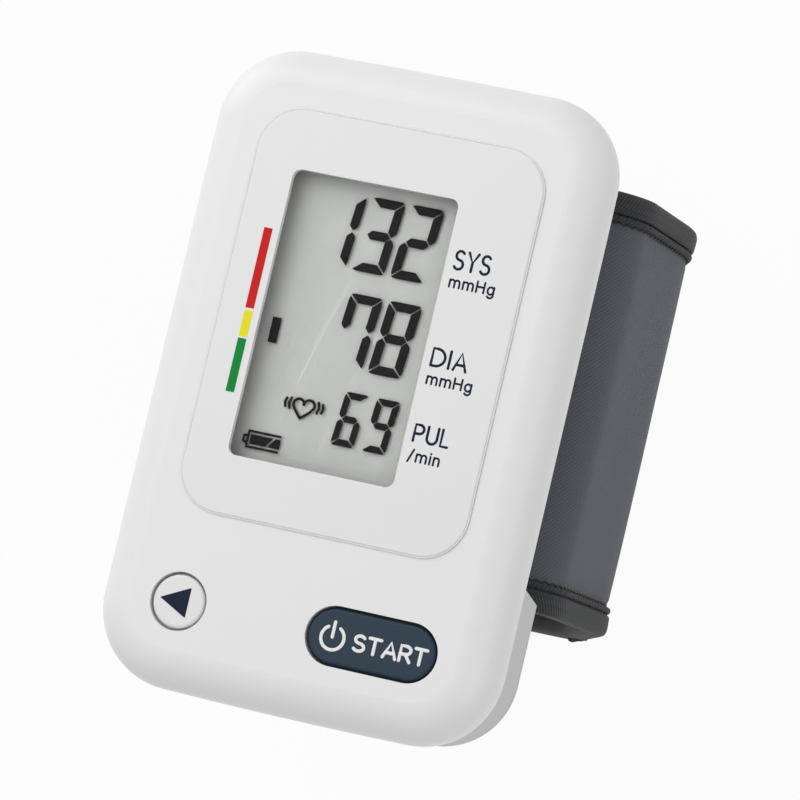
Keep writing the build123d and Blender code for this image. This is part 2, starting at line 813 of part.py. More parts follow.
with BuildPart() as plate_screws:
    with BuildSketch(level(floor_depth - layer_gap)):
        with Locations((0, panel_y)):
            with GridLocations(2 * plate_screw_x, 2 * plate_screw_y, 2, 2):
                Circle(screw_head_radius)
    extrude(amount=screw_head_height)
    with BuildSketch(level(floor_depth - layer_gap)):
        with Locations((0, panel_y)):
            with GridLocations(2 * plate_screw_x, 2 * plate_screw_y, 2, 2):
                Circle(screw_radius)
    extrude(amount=-(plate_low_depth - floor_depth - layer_gap))
save(plate_screws, "plate_screws")

with BuildPart() as case_screws:
    with BuildSketch(level(screw_seat_depth + layer_gap)):
        with Locations(*post_places):
            Circle(screw_head_radius)
    extrude(amount=-screw_head_height)
    with BuildSketch(level(screw_seat_depth + layer_gap)):
        with Locations(*post_places):
            Circle(screw_radius)
    extrude(amount=screw_length)
    with BuildSketch(level(screw_seat_depth + layer_gap + screw_head_height)):
        for place in post_places:
            with Locations(place):
                Rectangle(2 * screw_radius, slot_width)
                Rectangle(slot_width, 2 * screw_radius)
    extrude(amount=screw_head_height / 2, mode=Mode.SUBTRACT)
save(case_screws, "case_screws")

bladder_top_depth = cuff_top_depth + fabric_thickness + stiffener_thickness + 2 * layer_gap
with BuildPart() as air_nipple:
    with BuildSketch(level(nipple_top_depth + layer_gap)):
        with Locations((manifold_x, manifold_y)):
            Circle(nipple_radius)
            Circle(nipple_radius - tube_wall, mode=Mode.SUBTRACT)
    extrude(amount=-(bladder_top_depth - nipple_top_depth - 2 * layer_gap))
save(air_nipple, "air_nipple")

# Cuff loop: a rounded U below the case. Its layers are offsets of one outline, measured inwards from
# the outer fabric. The inner end tucks inside the closing flap, which starts at the hinge on the left.
loop_low_depth = cuff_top_depth + loop_depth


def side_x(depth, inward):
    """How far the leaning side of the loop stands from the middle."""
    lean = radians(side_lean)
    return loop_top_half + (depth - cuff_top_depth) * tan(lean) - inward / cos(lean)


def cheek_x(depth, inward):
    """How far the loop stands from the middle below the depth where its side turns in."""
    lean = radians(cheek_lean)
    return side_x(cheek_depth, 0) - (depth - cheek_depth) * tan(lean) - inward / cos(lean)


def cheek_corner(inward):
    """Where side and cheek meet, on an offset of the outline."""
    side, low = radians(side_lean), radians(cheek_lean)
    depth = cheek_depth + inward * (1 / cos(side) - 1 / cos(low)) / (tan(side) + tan(low))
    return side_x(depth, inward), depth


def low_round(outset):
    """The radius that leaves the stated flat on the loop's underside."""
    return (cheek_x(loop_low_depth, outset) - loop_flat_half) * tan(radians((90 + cheek_lean) / 2))


def inner_round(inward, start):
    """The radius of the band's tucked cheek corner, limited by the side that is left above it."""
    tucked = inward + flap_step
    side = (cheek_corner(tucked)[1] - start) / cos(radians(side_lean))
    return min(cheek_round - tucked, (side - layer_gap) / tan(radians((side_lean + cheek_lean) / 2)))


def loop_line(inward, inner_stop, hinge_stop):
    """The band's line from its inner end, under the wrist and over the top, to the hinge."""
    top = cuff_top_depth + inward
    low = loop_low_depth - inward
    tucked = inward + flap_step
    tucked_x, tucked_depth = cheek_corner(tucked)
    corner_x, corner_depth = cheek_corner(inward)
    line = FilletPolyline(
        (-side_x(inner_stop, tucked), front_z - inner_stop),
        (-tucked_x, front_z - tucked_depth),
        (-cheek_x(low, tucked), front_z - low),
        (cheek_x(low, inward), front_z - low),
        (corner_x, front_z - corner_depth),
        (side_x(top, inward), front_z - top),
        (-side_x(top, inward), front_z - top),
        (-side_x(hinge_stop, inward), front_z - hinge_stop),
        radius=(
            inner_round(inward, inner_stop),
            low_round(flap_step) - inward,
            low_round(0) - inward,
            cheek_round - inward,
            loop_top_round - inward,
            loop_top_round - inward,
        ),
    )
    return line @ 0, line @ 1


def flap_line(inward, start, end_angle):
    """The closing flap's line from the hinge, down the left side and round under the loop."""
    low = loop_low_depth + flap_step - inward
    corner_x, corner_depth = cheek_corner(inward)
    side = FilletPolyline(
        (-side_x(start, inward), front_z - start),
        (-corner_x, front_z - corner_depth),
        (-cheek_x(low, inward), front_z - low),
        (loop_flat_half, front_z - low),
        radius=(cheek_round - inward, low_round(flap_step) + flap_step - inward),
    )
    turn = low_round(0) + flap_step - inward
    end = CenterArc((loop_flat_half, front_z - low + turn), turn, -90, end_angle)
    return side @ 0, end @ 1


def band(line, outer, inner, high_y, low_y, *stops):
    """One layer between two offsets of a line, as long as the cuff is wide."""
    with BuildPart() as form:
        with BuildSketch(Plane((0, high_y, 0), (1, 0, 0), (0, -1, 0))):
            with BuildLine():
                outer_start, outer_end = line(outer, *stops)
                inner_start, inner_end = line(inner, *stops)
                Line(outer_start, inner_start)
                Line(outer_end, inner_end)
            make_face()
        extrude(amount=high_y - low_y)
    return form.part


def binding(line, thickness, high_y, low_y, edge_y, *stops):
    """A tape folded over one edge of the cuff: outer leg, edge and inner leg."""
    inside_high = min(high_y, edge_y - hem_thickness) if edge_y > cuff_centre_y else high_y
    inside_low = max(low_y, edge_y + hem_thickness) if edge_y < cuff_centre_y else low_y
    with BuildPart() as form:
        add(band(line, -hem_thickness, thickness + hem_thickness, high_y, low_y, *stops))
        add(
            band(line, -layer_gap, thickness + layer_gap, inside_high, inside_low, *stops),
            mode=Mode.SUBTRACT,
        )
    return form


stiffener_start = fabric_thickness + layer_gap
bladder_start = stiffener_start + stiffener_thickness + layer_gap
lining_start = bladder_start + bladder_thickness + layer_gap
layer_high_y = cuff_high_y - hem_thickness - layer_gap
layer_low_y = cuff_low_y + hem_thickness + layer_gap
bladder_high_y = cuff_high_y - hem_width
bladder_low_y = cuff_low_y + hem_width
loop_stops = (inner_end_depth, hinge_depth)
bladder_stops = (inner_end_depth + bladder_margin, hinge_depth - hinge_gap)
with BuildPart() as cuff_fabric:
    add(band(loop_line, 0, fabric_thickness, layer_high_y, layer_low_y, *loop_stops))
    with BuildSketch(level(front_depth)):
        with Locations((manifold_x, manifold_y)):
            Circle(nipple_radius + layer_gap)
    extrude(amount=-(bladder_top_depth - front_depth), mode=Mode.SUBTRACT)
save(cuff_fabric, "cuff_fabric")

with BuildPart() as cuff_stiffener:
    add(
        band(
            loop_line,
            stiffener_start,
            stiffener_start + stiffener_thickness,
            layer_high_y,
            layer_low_y,
            *loop_stops,
        )
    )
    with BuildSketch(level(front_depth)):
        with Locations((manifold_x, manifold_y)):
            Circle(nipple_radius + layer_gap)
    extrude(amount=-(bladder_top_depth - front_depth), mode=Mode.SUBTRACT)
save(cuff_stiffener, "cuff_stiffener")

with BuildPart() as air_bladder:
    add(
        band(
            loop_line,
            bladder_start,
            bladder_start + bladder_thickness,
            bladder_high_y,
            bladder_low_y,
            *bladder_stops,
        )
    )
save(air_bladder, "air_bladder")

with BuildPart() as cuff_lining:
    add(band(loop_line, lining_start, wall_thickness, layer_high_y, layer_low_y, *loop_stops))
save(cuff_lining, "cuff_lining")

edges = {"top": (cuff_high_y, cuff_high_y - hem_width), "bottom": (cuff_low_y + hem_width, cuff_low_y)}
for name, (high_y, low_y) in edges.items():
    edge_y = cuff_high_y if name == "top" else cuff_low_y
    save(
        binding(loop_line, wall_thickness, high_y, low_y, edge_y, *loop_stops), f"cuff_binding_{name}"
    )

# Closing flap: fabric, stiffener and lining bound at both edges, with the hook pad inside its free end
flap_stops = (hinge_depth + hinge_gap, flap_end_angle)
flap_lining_start = stiffener_start + stiffener_thickness + layer_gap
flap_lining_end = flap_lining_start + lining_thickness
flap_hem_start = flap_lining_start
with BuildPart() as flap_fabric:
    add(band(flap_line, 0, fabric_thickness, layer_high_y, layer_low_y, *flap_stops))
save(flap_fabric, "flap_fabric")

with BuildPart() as flap_stiffener:
    add(
        band(
            flap_line,
            stiffener_start,
            stiffener_start + stiffener_thickness,
            layer_high_y,
            layer_low_y,
            *flap_stops,
        )
    )
save(flap_stiffener, "flap_stiffener")

lining_high_y = cuff_high_y - hem_width - layer_gap
lining_low_y = cuff_low_y + hem_width + layer_gap
with BuildPart() as flap_lining:
    add(band(flap_line, flap_lining_start, flap_lining_end, lining_high_y, lining_low_y, *flap_stops))
save(flap_lining, "flap_lining")

for name, (high_y, low_y) in edges.items():
    edge_y = cuff_high_y if name == "top" else cuff_low_y
    save(
        binding(flap_line, flap_hem_start - layer_gap, high_y, low_y, edge_y, *flap_stops),
        f"flap_binding_{name}",
    )

# The hook pad inside the flap and the loop pad on the band both start on the straight cheek
pad_start = cheek_depth + cheek_round * tan(radians((side_lean + cheek_lean) / 2)) + pad_margin


def pad_line(inward, tuck, end_angle):
    """The stretch from the left cheek round to the flap's end, of the flap or of the band inside it."""
    low = loop_low_depth + flap_step - tuck - inward
    side = FilletPolyline(
        (-cheek_x(pad_start, inward + tuck), front_z - pad_start),
        (-cheek_x(low, inward + tuck), front_z - low),
        (loop_flat_half, front_z - low),
        radius=low_round(flap_step) + flap_step - tuck - inward,
    )
    turn = low_round(0) + flap_step - tuck - inward
    end = CenterArc((loop_flat_half, front_z - low + turn), turn, -90, end_angle)
    return side @ 0, end @ 1


with BuildPart() as hook_pad:
    hook_start = flap_lining_end + layer_gap
    add(
        band(
            pad_line,
            hook_start,
            hook_start + hook_thickness,
            lining_high_y - hook_length_margin,
            lining_low_y + hook_length_margin,
            0,
            flap_end_angle - hook_length_margin,
        )
    )
save(hook_pad, "hook_pad")

with BuildPart() as loop_pad:
    pad_high_y = bladder_high_y - layer_gap
    pad_low_y = bladder_low_y + layer_gap
    add(
        band(pad_line, -loop_pad_thickness, -layer_gap, pad_high_y, pad_low_y, flap_step, flap_end_angle)
    )
save(loop_pad, "loop_pad")
print("front face height", round(front_z, 3))
hinge_x = -side_x(hinge_depth, -hem_thickness)
print("flap hinge", round(hinge_x, 3), round(front_z - hinge_depth, 3))
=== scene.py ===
import json
from math import cos, dist, pi, radians, sin, tan, tau

import bmesh
import bpy
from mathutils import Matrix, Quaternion, Vector, noise
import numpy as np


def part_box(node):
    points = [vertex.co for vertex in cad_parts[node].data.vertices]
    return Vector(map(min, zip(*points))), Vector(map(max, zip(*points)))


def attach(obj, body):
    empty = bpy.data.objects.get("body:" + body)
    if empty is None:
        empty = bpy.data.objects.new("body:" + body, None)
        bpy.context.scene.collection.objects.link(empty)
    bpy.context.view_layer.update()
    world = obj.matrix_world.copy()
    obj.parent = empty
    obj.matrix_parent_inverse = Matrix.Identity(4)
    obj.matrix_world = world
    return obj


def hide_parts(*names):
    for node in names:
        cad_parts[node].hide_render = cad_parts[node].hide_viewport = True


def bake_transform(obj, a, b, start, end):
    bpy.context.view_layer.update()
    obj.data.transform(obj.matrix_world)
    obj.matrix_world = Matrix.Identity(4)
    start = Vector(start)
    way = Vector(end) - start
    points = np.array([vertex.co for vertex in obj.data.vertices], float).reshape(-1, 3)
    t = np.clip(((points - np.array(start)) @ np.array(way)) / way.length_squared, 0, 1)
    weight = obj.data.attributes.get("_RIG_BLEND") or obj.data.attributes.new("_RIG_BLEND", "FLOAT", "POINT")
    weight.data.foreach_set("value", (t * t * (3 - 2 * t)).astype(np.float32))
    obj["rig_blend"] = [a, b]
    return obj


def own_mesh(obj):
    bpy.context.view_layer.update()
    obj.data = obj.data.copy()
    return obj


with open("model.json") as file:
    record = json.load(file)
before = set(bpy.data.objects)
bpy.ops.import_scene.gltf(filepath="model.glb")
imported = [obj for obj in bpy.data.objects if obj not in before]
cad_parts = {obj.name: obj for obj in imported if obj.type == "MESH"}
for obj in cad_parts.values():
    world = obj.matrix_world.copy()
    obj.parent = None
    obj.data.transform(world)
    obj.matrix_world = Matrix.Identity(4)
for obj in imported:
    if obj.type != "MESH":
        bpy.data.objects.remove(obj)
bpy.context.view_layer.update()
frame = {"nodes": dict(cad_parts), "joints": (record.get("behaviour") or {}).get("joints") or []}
nodes = frame["nodes"]
mm = 0.001
panelLow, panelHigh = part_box("display_panel")
panelTop = panelHigh.z
panelY = (panelLow.y + panelHigh.y) / 2
scene = bpy.context.scene
print("frame loaded")

# Camera, at the photograph's angle
cameraView = {
    "place": (0.20542, -0.05247, 0.71050),
    "aim": (0.00738, -0.00002, 0.08165),
    "roll": -62.647,
    "lens": 226.6,
    "sensor": 36,
    "reach": 20,
}


def addCamera(settings):
    data = bpy.data.cameras.new("viewCamera")
    camera = bpy.data.objects.new("viewCamera", data)
    scene.collection.objects.link(camera)
    place = Vector(settings["place"])
    towards = Vector(settings["aim"]) - place
    roll = Quaternion((0, 0, 1), radians(settings["roll"]))
    camera.location = place
    camera.rotation_euler = (towards.to_track_quat("-Z", "Y") @ roll).to_euler()
    data.lens = settings["lens"]
    data.sensor_width = settings["sensor"]
    data.clip_end = settings["reach"]
    scene.camera = camera


addCamera(cameraView)

# Soft studio light: a large key above and left of the display, a low lamp that lights its left and upper
# edges, and a fill further away on the right
lamps = {
    "keyLamp": {"place": (-0.30, 0.28, 0.60), "size": 0.6, "power": 1.85},
    "edgeLamp": {"place": (-0.60, 0.36, 0.16), "size": 0.4, "power": 1.0},
    "fillLamp": {"place": (0.85, -0.25, 0.75), "size": 0.7, "power": 1.9},
}
lampAim = (0, 0, 0.05)
worldLevel = 0.52
white = (1, 1, 1, 1)


def addLamp(name, settings):
    data = bpy.data.lights.new(name, "AREA")
    data.shape = "SQUARE"
    data.size = settings["size"]
    data.energy = settings["power"]
    lamp = bpy.data.objects.new(name, data)
    lamp.location = settings["place"]
    aim = Vector(lampAim) - Vector(settings["place"])
    lamp.rotation_euler = aim.to_track_quat("-Z", "Y").to_euler()
    scene.collection.objects.link(lamp)


for lampName, lampSettings in lamps.items():
    addLamp(lampName, lampSettings)


def setInputs(tree, node, inputs):
    for key, value in inputs.items():
        if isinstance(value, bpy.types.NodeSocket):
            tree.links.new(value, node.inputs[key])
        else:
            node.inputs[key].default_value = value


def addNode(tree, kind, inputs=None, **settings):
    node = tree.nodes.new("ShaderNode" + kind)
    for key, value in settings.items():
        setattr(node, key, value)
    setInputs(tree, node, inputs or {})
    return node


def calc(tree, operation, first, second=0.0, third=0.0):
    return addNode(tree, "Math", {0: first, 1: second, 2: third}, operation=operation).outputs[0]


def mixShaders(tree, share, first, second):
    inputs = {0: share, 1: first.outputs[0], 2: second.outputs[0]}
    return addNode(tree, "MixShader", inputs).outputs[0]


def rayMask(tree):
    # camera, glossy and transmission rays all see the pale background
    path = addNode(tree, "LightPath")
    seen = calc(tree, "MAXIMUM", path.outputs["Is Camera Ray"], path.outputs["Is Glossy Ray"])
    return calc(tree, "MAXIMUM", seen, path.outputs["Is Transmission Ray"])


def addWorld(level):
    world = bpy.data.worlds.new("studio")
    scene.world = world
    world.use_nodes = True
    tree = world.node_tree
    tree.nodes.clear()
    light = addNode(tree, "Background", {"Color": white, "Strength": level})
    backdrop = addNode(tree, "Background", {"Color": white, "Strength": 1.0})
    room = mixShaders(tree, rayMask(tree), light, backdrop)
    addNode(tree, "OutputWorld", {"Surface": room})


addWorld(worldLevel)


def finishPiece(name, form, finish, slotName=None, smooth=True):
    mesh = bpy.data.meshes.new(name)
    form.to_mesh(mesh)
    form.free()
    for face in mesh.polygons:
        face.use_smooth = smooth
    mesh.materials.append(bpy.data.materials[finish])
    piece = bpy.data.objects.new(name, mesh)
    scene.collection.objects.link(piece)
    return piece


# Floor: white, and it keeps the soft shadow of the cuff
floorLook = {"size": 6.0, "colour": (0.86, 0.86, 0.86, 1), "shadowShare": 0.06}


def addFloor(settings):
    form = bmesh.new()
    bmesh.ops.create_grid(form, x_segments=1, y_segments=1, size=settings["size"] / 2)
    material = bpy.data.materials.new("paleFloor")
    material.use_nodes = True
    tree = material.node_tree
    tree.nodes.clear()
    matt = addNode(tree, "BsdfDiffuse", {"Color": settings["colour"]})
    glow = addNode(tree, "Emission", {"Color": white, "Strength": 1.0})
    share = calc(tree, "MULTIPLY", rayMask(tree), 1 - settings["shadowShare"])
    addNode(tree, "OutputMaterial", {"Surface": mixShaders(tree, share, matt, glow)})
    finishPiece("floor", form, material.name, smooth=False)


addFloor(floorLook)
scene.view_settings.view_transform = "Standard"
print("camera, light and floor made")


# Shared effects
def newGroup(name, values, outputs):
    # a shader group with a Vector input, float inputs at their usual values, and float outputs
    group = bpy.data.node_groups.new(name, "ShaderNodeTree")
    group.interface.new_socket("Vector", in_out="INPUT", socket_type="NodeSocketVector")
    for socket, value in values.items():
        made = group.interface.new_socket(socket, in_out="INPUT", socket_type="NodeSocketFloat")
        made.default_value = value
    for socket in outputs:
        group.interface.new_socket(socket, in_out="OUTPUT", socket_type="NodeSocketFloat")
    return group, group.nodes.new("NodeGroupInput").outputs, group.nodes.new("NodeGroupOutput")


def addNoise(tree, vector, scale, detail, roughness=0.5):
    inputs = {"Vector": vector, "Scale": scale, "Detail": detail, "Roughness": roughness}
    return addNode(tree, "TexNoise", inputs).outputs["Fac"]


def addWave(tree, value, pitch, turn):
    turns = calc(tree, "MULTIPLY", calc(tree, "DIVIDE", value, pitch), turn)
    return calc(tree, "SINE", turns)


def grainGroup():
    # fine moulded grain with a slow mottle: Height for the bump, Mottle from 0 to 1
    scales = {"Grain Scale": 9000.0, "Mottle Scale": 60.0}
    group, given, put = newGroup("mouldedGrain", scales, ("Height", "Mottle"))
    fine = addNoise(group, given["Vector"], given["Grain Scale"], 2.0)
    slow = addNoise(group, given["Vector"], given["Mottle Scale"], 3.0)
    setInputs(group, put, {"Height": fine, "Mottle": slow})
    return group


def twillGroup():
    # woven cloth on a UV map in metres: Height of the threads, and a mask that is 1 on the threads that lie
    # on top, which carries the painted highlight on them
    weave = {"Pitch": 0.0003, "Repeat": 3.0, "Floats": 2.0}
    weftHeight = 0.6
    group, given, put = newGroup("twillWeave", weave, ("Height", "Lift"))
    parts = addNode(group, "SeparateXYZ", {0: given["Vector"]}).outputs
    counts = [calc(group, "FLOOR", calc(group, "DIVIDE", parts[axis], given["Pitch"])) for axis in "XY"]
    rounds = [calc(group, "ABSOLUTE", addWave(group, parts[axis], given["Pitch"], pi)) for axis in "XY"]
    place = calc(group, "FLOORED_MODULO", calc(group, "ADD", *counts), given["Repeat"])
    onTop = calc(group, "LESS_THAN", place, given["Floats"])
    weft = calc(group, "MULTIPLY", rounds[1], weftHeight)
    height = addNode(group, "Mix", {0: onTop, 2: weft, 3: rounds[0]}).outputs[0]
    setInputs(group, put, {"Height": height, "Lift": calc(group, "MULTIPLY", onTop, rounds[0])})
    return group


def ribGroup():
    # ribbed tape or twisted cord on a UV map in metres: slanted ribs, broken into rows
    ribs = {"Pitch": 0.0005, "Slant": 0.5, "Row": 0.0011}
    rowPower, liftPower = 0.5, 3.0
    group, given, put = newGroup("slantedRibs", ribs, ("Height", "Lift"))
    parts = addNode(group, "SeparateXYZ", {0: given["Vector"]}).outputs
    shifted = calc(group, "MULTIPLY_ADD", parts["Y"], given["Slant"], parts["X"])
    rib = addWave(group, shifted, given["Pitch"], tau)
    row = addWave(group, parts["Y"], given["Row"], pi)
    crest = calc(group, "MULTIPLY_ADD", rib, 0.5, 0.5)
    body = calc(group, "POWER", calc(group, "ABSOLUTE", row), rowPower)
    # sharpened rib crests: the mask for the painted highlight on the ribs
    lift = calc(group, "MULTIPLY", calc(group, "POWER", crest, liftPower), body)
    setInputs(group, put, {"Height": calc(group, "MULTIPLY", crest, body), "Lift": lift})
    return group


mouldedGrain = grainGroup()
twillWeave = twillGroup()
slantedRibs = ribGroup()


def startMaterial(name):
    material = bpy.data.materials.new(name)
    material.use_nodes = True
    return material.node_tree, material.node_tree.nodes["Principled BSDF"]


def useGroup(tree, group, inputs):
    return addNode(tree, "Group", inputs, node_tree=group).outputs


def mixColour(tree, share, first, second):
    # a colour is a socket or three numbers
    ends = [value if isinstance(value, bpy.types.NodeSocket) else (*value, 1) for value in (first, second)]
    return addNode(tree, "Mix", {0: share, 6: ends[0], 7: ends[1]}, data_type="RGBA").outputs[2]


def spread(tree, value, low, high):
    return addNode(tree, "MapRange", {"Value": value, 3: low, 4: high}).outputs[0]


def setBump(tree, shader, height, distance):
    bump = addNode(tree, "Bump", {"Height": height, "Strength": 1.0, "Distance": distance})
    tree.links.new(bump.outputs[0], shader.inputs["Normal"])


def objectPlace(tree):
    return addNode(tree, "TexCoord").outputs["Object"]


def clothMap(tree):
    return addNode(tree, "UVMap", uv_map="cloth").outputs[0]


# how far a surface's gloss and a clear sheet's film vary, as shares of their own values
glossSpread = (0.9, 1.12)
filmSpread = (0.8, 1.2)


def solidMaterial(name, colour, roughness, grain=9000.0, bump=0.000004, vary=0.04, metal=0.0, shine=0.5):
    # moulded, painted or metal surface: its colour and gloss vary a little, over a fine grain
    tree, shader = startMaterial(name)
    effect = useGroup(tree, mouldedGrain, {"Vector": objectPlace(tree), "Grain Scale": grain})
    deeper = [channel * (1 - vary) for channel in colour]
    inputs = {
        "Base Color": mixColour(tree, effect["Mottle"], deeper, colour),
        "Roughness": spread(tree, effect["Mottle"], *(roughness * share for share in glossSpread)),
        "Metallic": metal,
        "Specular IOR Level": shine,
    }
    setInputs(tree, shader, inputs)
    setBump(tree, shader, effect["Height"], bump)


def clearMaterial(name, colour, alpha, roughness):
    # thin clear sheet: mostly see-through, with a faint film that varies
    tree, shader = startMaterial(name)
    effect = useGroup(tree, mouldedGrain, {"Vector": objectPlace(tree), "Mottle Scale": 40.0})
    film = spread(tree, effect["Mottle"], *(alpha * share for share in filmSpread))
    setInputs(tree, shader, {"Alpha": film, "Base Color": (*colour, 1), "Roughness": roughness})


def setCloth(tree, shader, tint, height, look):
    inputs = {"Base Color": tint, "Roughness": look["roughness"], "Sheen Weight": look["sheen"]}
    setInputs(tree, shader, inputs)
    setBump(tree, shader, height, look["depth"])


def clothMaterial(name, look):
    # woven cloth: painted shade between the threads and a painted highlight on the floats, with slow wear
    # and fuzz
    tree, shader = startMaterial(name)
    uv = clothMap(tree)
    weave = useGroup(tree, twillWeave, {"Vector": uv, "Pitch": look["pitch"]})
    lint = addNoise(tree, uv, look["lintScale"], 3.0)
    wear = calc(tree, "MULTIPLY", addNoise(tree, uv, look["wearScale"], 2.0), look["fuzz"])
    # thread colour: painted shade between the threads, painted highlight on the floats that lie on top
    threads = mixColour(tree, weave["Lift"], look["colour"], look["light"])
    height = calc(tree, "MULTIPLY_ADD", lint, look["lint"], weave["Height"])
    setCloth(tree, shader, mixColour(tree, wear, threads, look["light"]), height, look)


def tapeMaterial(name, look):
    # ribbed binding tape or twisted cord, with a painted highlight on the crests of its ribs
    tree, shader = startMaterial(name)
    uv = clothMap(tree)
    pattern = {"Vector": uv, "Pitch": look["pitch"], "Slant": look["slant"], "Row": look["row"]}
    ribs = useGroup(tree, slantedRibs, pattern)
    lint = addNoise(tree, uv, look["lintScale"], 2.0)
    # painted highlight: the rib crests, broken by lint, mixed towards the light colour
    share = calc(tree, "MULTIPLY", ribs["Lift"], lint)
    height = calc(tree, "MULTIPLY_ADD", lint, look["lint"], ribs["Height"])
    setCloth(tree, shader, mixColour(tree, share, look["colour"], look["light"]), height, look)


def fleeceMaterial(name, look):
    # brushed fleece: soft clumps of short fibres, painted lighter where the clumps rise and darker between
    # them
    tree, shader = startMaterial(name)
    uv = clothMap(tree)
    clumps = addNoise(tree, uv, look["clumpScale"], 5.0, 0.7)
    fibres = addNoise(tree, uv, look["fibreScale"], 2.0)
    height = calc(tree, "MULTIPLY_ADD", fibres, look["fibre"], clumps)
    # the clumps that shape the bump also set the colour: painted light on the raised clumps, painted shade
    # between them
    setCloth(tree, shader, mixColour(tree, clumps, look["colour"], look["light"]), height, look)


def pileMaterial(name, look):
    # hook or loop tape: small knots in rows, painted lighter on their tops and darker between them
    tree, shader = startMaterial(name)
    inputs = {"Vector": clothMap(tree), "Scale": look["scale"], "Randomness": look["uneven"]}
    knots = addNode(tree, "TexVoronoi", inputs)
    # the knots' nearness gives both the bump and the colour: painted highlight on the knot tops, painted
    # shade between the knots
    near = calc(tree, "SUBTRACT", 1.0, calc(tree, "MULTIPLY", knots.outputs["Distance"], look["fall"]))
    setCloth(tree, shader, mixColour(tree, near, look["colour"], look["light"]), near, look)


def cellMaterial(name, look):
    # printed sleeve in two plain colours: one round the middle of the cells, one over their ends
    tree, shader = startMaterial(name)
    where = objectPlace(tree)
    effect = useGroup(tree, mouldedGrain, {"Vector": where})
    reach = calc(tree, "ABSOLUTE", addNode(tree, "SeparateXYZ", {0: where}).outputs["X"])
    sleeve = mixColour(tree, calc(tree, "LESS_THAN", reach, look["split"]), look["ends"], look["middle"])
    tint = mixColour(tree, calc(tree, "MULTIPLY", effect["Mottle"], look["vary"]), sleeve, look["worn"])
    setInputs(tree, shader, {"Base Color": tint, "Roughness": look["roughness"], "Metallic": look["metal"]})
    setBump(tree, shader, effect["Height"], look["depth"])


solidMaterial("caseWhite", (0.83, 0.83, 0.83), 0.34, vary=0.015)
solidMaterial("panelWhite", (0.80, 0.80, 0.80), 0.30, vary=0.015)
solidMaterial("caseGrey", (0.60, 0.61, 0.605), 0.55, grain=5000.0, bump=0.000012)
clearMaterial("windowClear", (0.9, 0.92, 0.92), 0.004, 0.05)
clearMaterial("lcdClear", (0.75, 0.78, 0.75), 0.005, 0.15)
solidMaterial("reflectorGrey", (0.85, 0.865, 0.84), 0.6, vary=0.015, metal=0.5, shine=0.2)
solidMaterial("inkBlack", (0.009, 0.007, 0.008), 0.6, shine=0.05)
solidMaterial("inkNavy", (0.010, 0.018, 0.036), 0.5, shine=0.1)
solidMaterial("inkWhite", (0.85, 0.86, 0.86), 0.4, vary=0.02)
solidMaterial("buttonNavy", (0.020, 0.040, 0.062), 0.35, vary=0.08, shine=0.2)
solidMaterial("buttonWhite", (0.80, 0.80, 0.80), 0.3, vary=0.015)
solidMaterial("rangeRed", (0.62, 0.018, 0.018), 0.5, shine=0.1)
solidMaterial("rangeYellow", (0.86, 0.80, 0.025), 0.5, shine=0.1)
solidMaterial("rangeGreen", (0.007, 0.25, 0.042), 0.5, shine=0.1)
solidMaterial("softWhite", (0.74, 0.75, 0.76), 0.6)
solidMaterial("tubeClear", (0.70, 0.72, 0.72), 0.35)
solidMaterial("holderWhite", (0.76, 0.76, 0.73), 0.5)
solidMaterial("boardGreen", (0.02, 0.13, 0.05), 0.35, vary=0.2)
solidMaterial("chipBlack", (0.02, 0.02, 0.022), 0.55)
solidMaterial("partBrown", (0.32, 0.22, 0.13), 0.5, vary=0.2)
solidMaterial("platedGold", (0.80, 0.58, 0.22), 0.25, metal=1.0)
solidMaterial("brightSteel", (0.62, 0.62, 0.63), 0.25, metal=1.0)
solidMaterial("platedSteel", (0.50, 0.50, 0.51), 0.38, metal=1.0, vary=0.1)
solidMaterial("rubberGrey", (0.16, 0.17, 0.19), 0.7)
solidMaterial("stripedRubber", (0.10, 0.10, 0.11), 0.7, grain=1500.0)
solidMaterial("sheetNatural", (0.66, 0.66, 0.63), 0.5)
solidMaterial("threadBlack", (0.006, 0.006, 0.007), 0.6)

# cloth: colour is the thread colour with painted shade between the threads; light is the painted highlight
# on the floats and also the colour of the wear and fuzz
clothLook = {
    "colour": (0.056, 0.059, 0.068),
    "light": (0.112, 0.116, 0.131),
    "pitch": 0.00021,
    "lintScale": 900.0,
    "lint": 0.4,
    "wearScale": 45.0,
    "fuzz": 0.35,
    "roughness": 0.85,
    "sheen": 0.12,
    "depth": 0.00003,
}
# fleece: colour is the tone with painted shade between the clumps, light the tone with painted light on the
# raised clumps
fleeceLook = {
    "colour": (0.40, 0.41, 0.41),
    "light": (0.64, 0.65, 0.65),
    "clumpScale": 700.0,
    "fibreScale": 4000.0,
    "fibre": 0.5,
    "roughness": 0.95,
    "sheen": 0.4,
    "depth": 0.00025,
}
# tape and cord: colour is the tape's own dark colour; light is the painted highlight on the rib crests
tapeLook = {
    "colour": (0.012, 0.013, 0.015),
    "light": (0.078, 0.080, 0.088),
    "pitch": 0.00045,
    "slant": 0.45,
    "row": 0.00105,
    "lintScale": 1500.0,
    "lint": 0.3,
    "roughness": 0.8,
    "sheen": 0.08,
    "depth": 0.00012,
}
cordTints = {"colour": (0.014, 0.015, 0.018), "light": (0.085, 0.087, 0.095)}
cordLook = {**tapeLook, **cordTints, "pitch": 0.0006, "slant": 1.0, "row": 0.002}
cellLook = {
    "middle": (0.05, 0.06, 0.07),
    "ends": (0.45, 0.22, 0.05),
    "worn": (0.3, 0.3, 0.3),
    "split": 13.5 * mm,
    "vary": 0.15,
    "roughness": 0.3,
    "metal": 0.6,
    "depth": 0.000003,
}
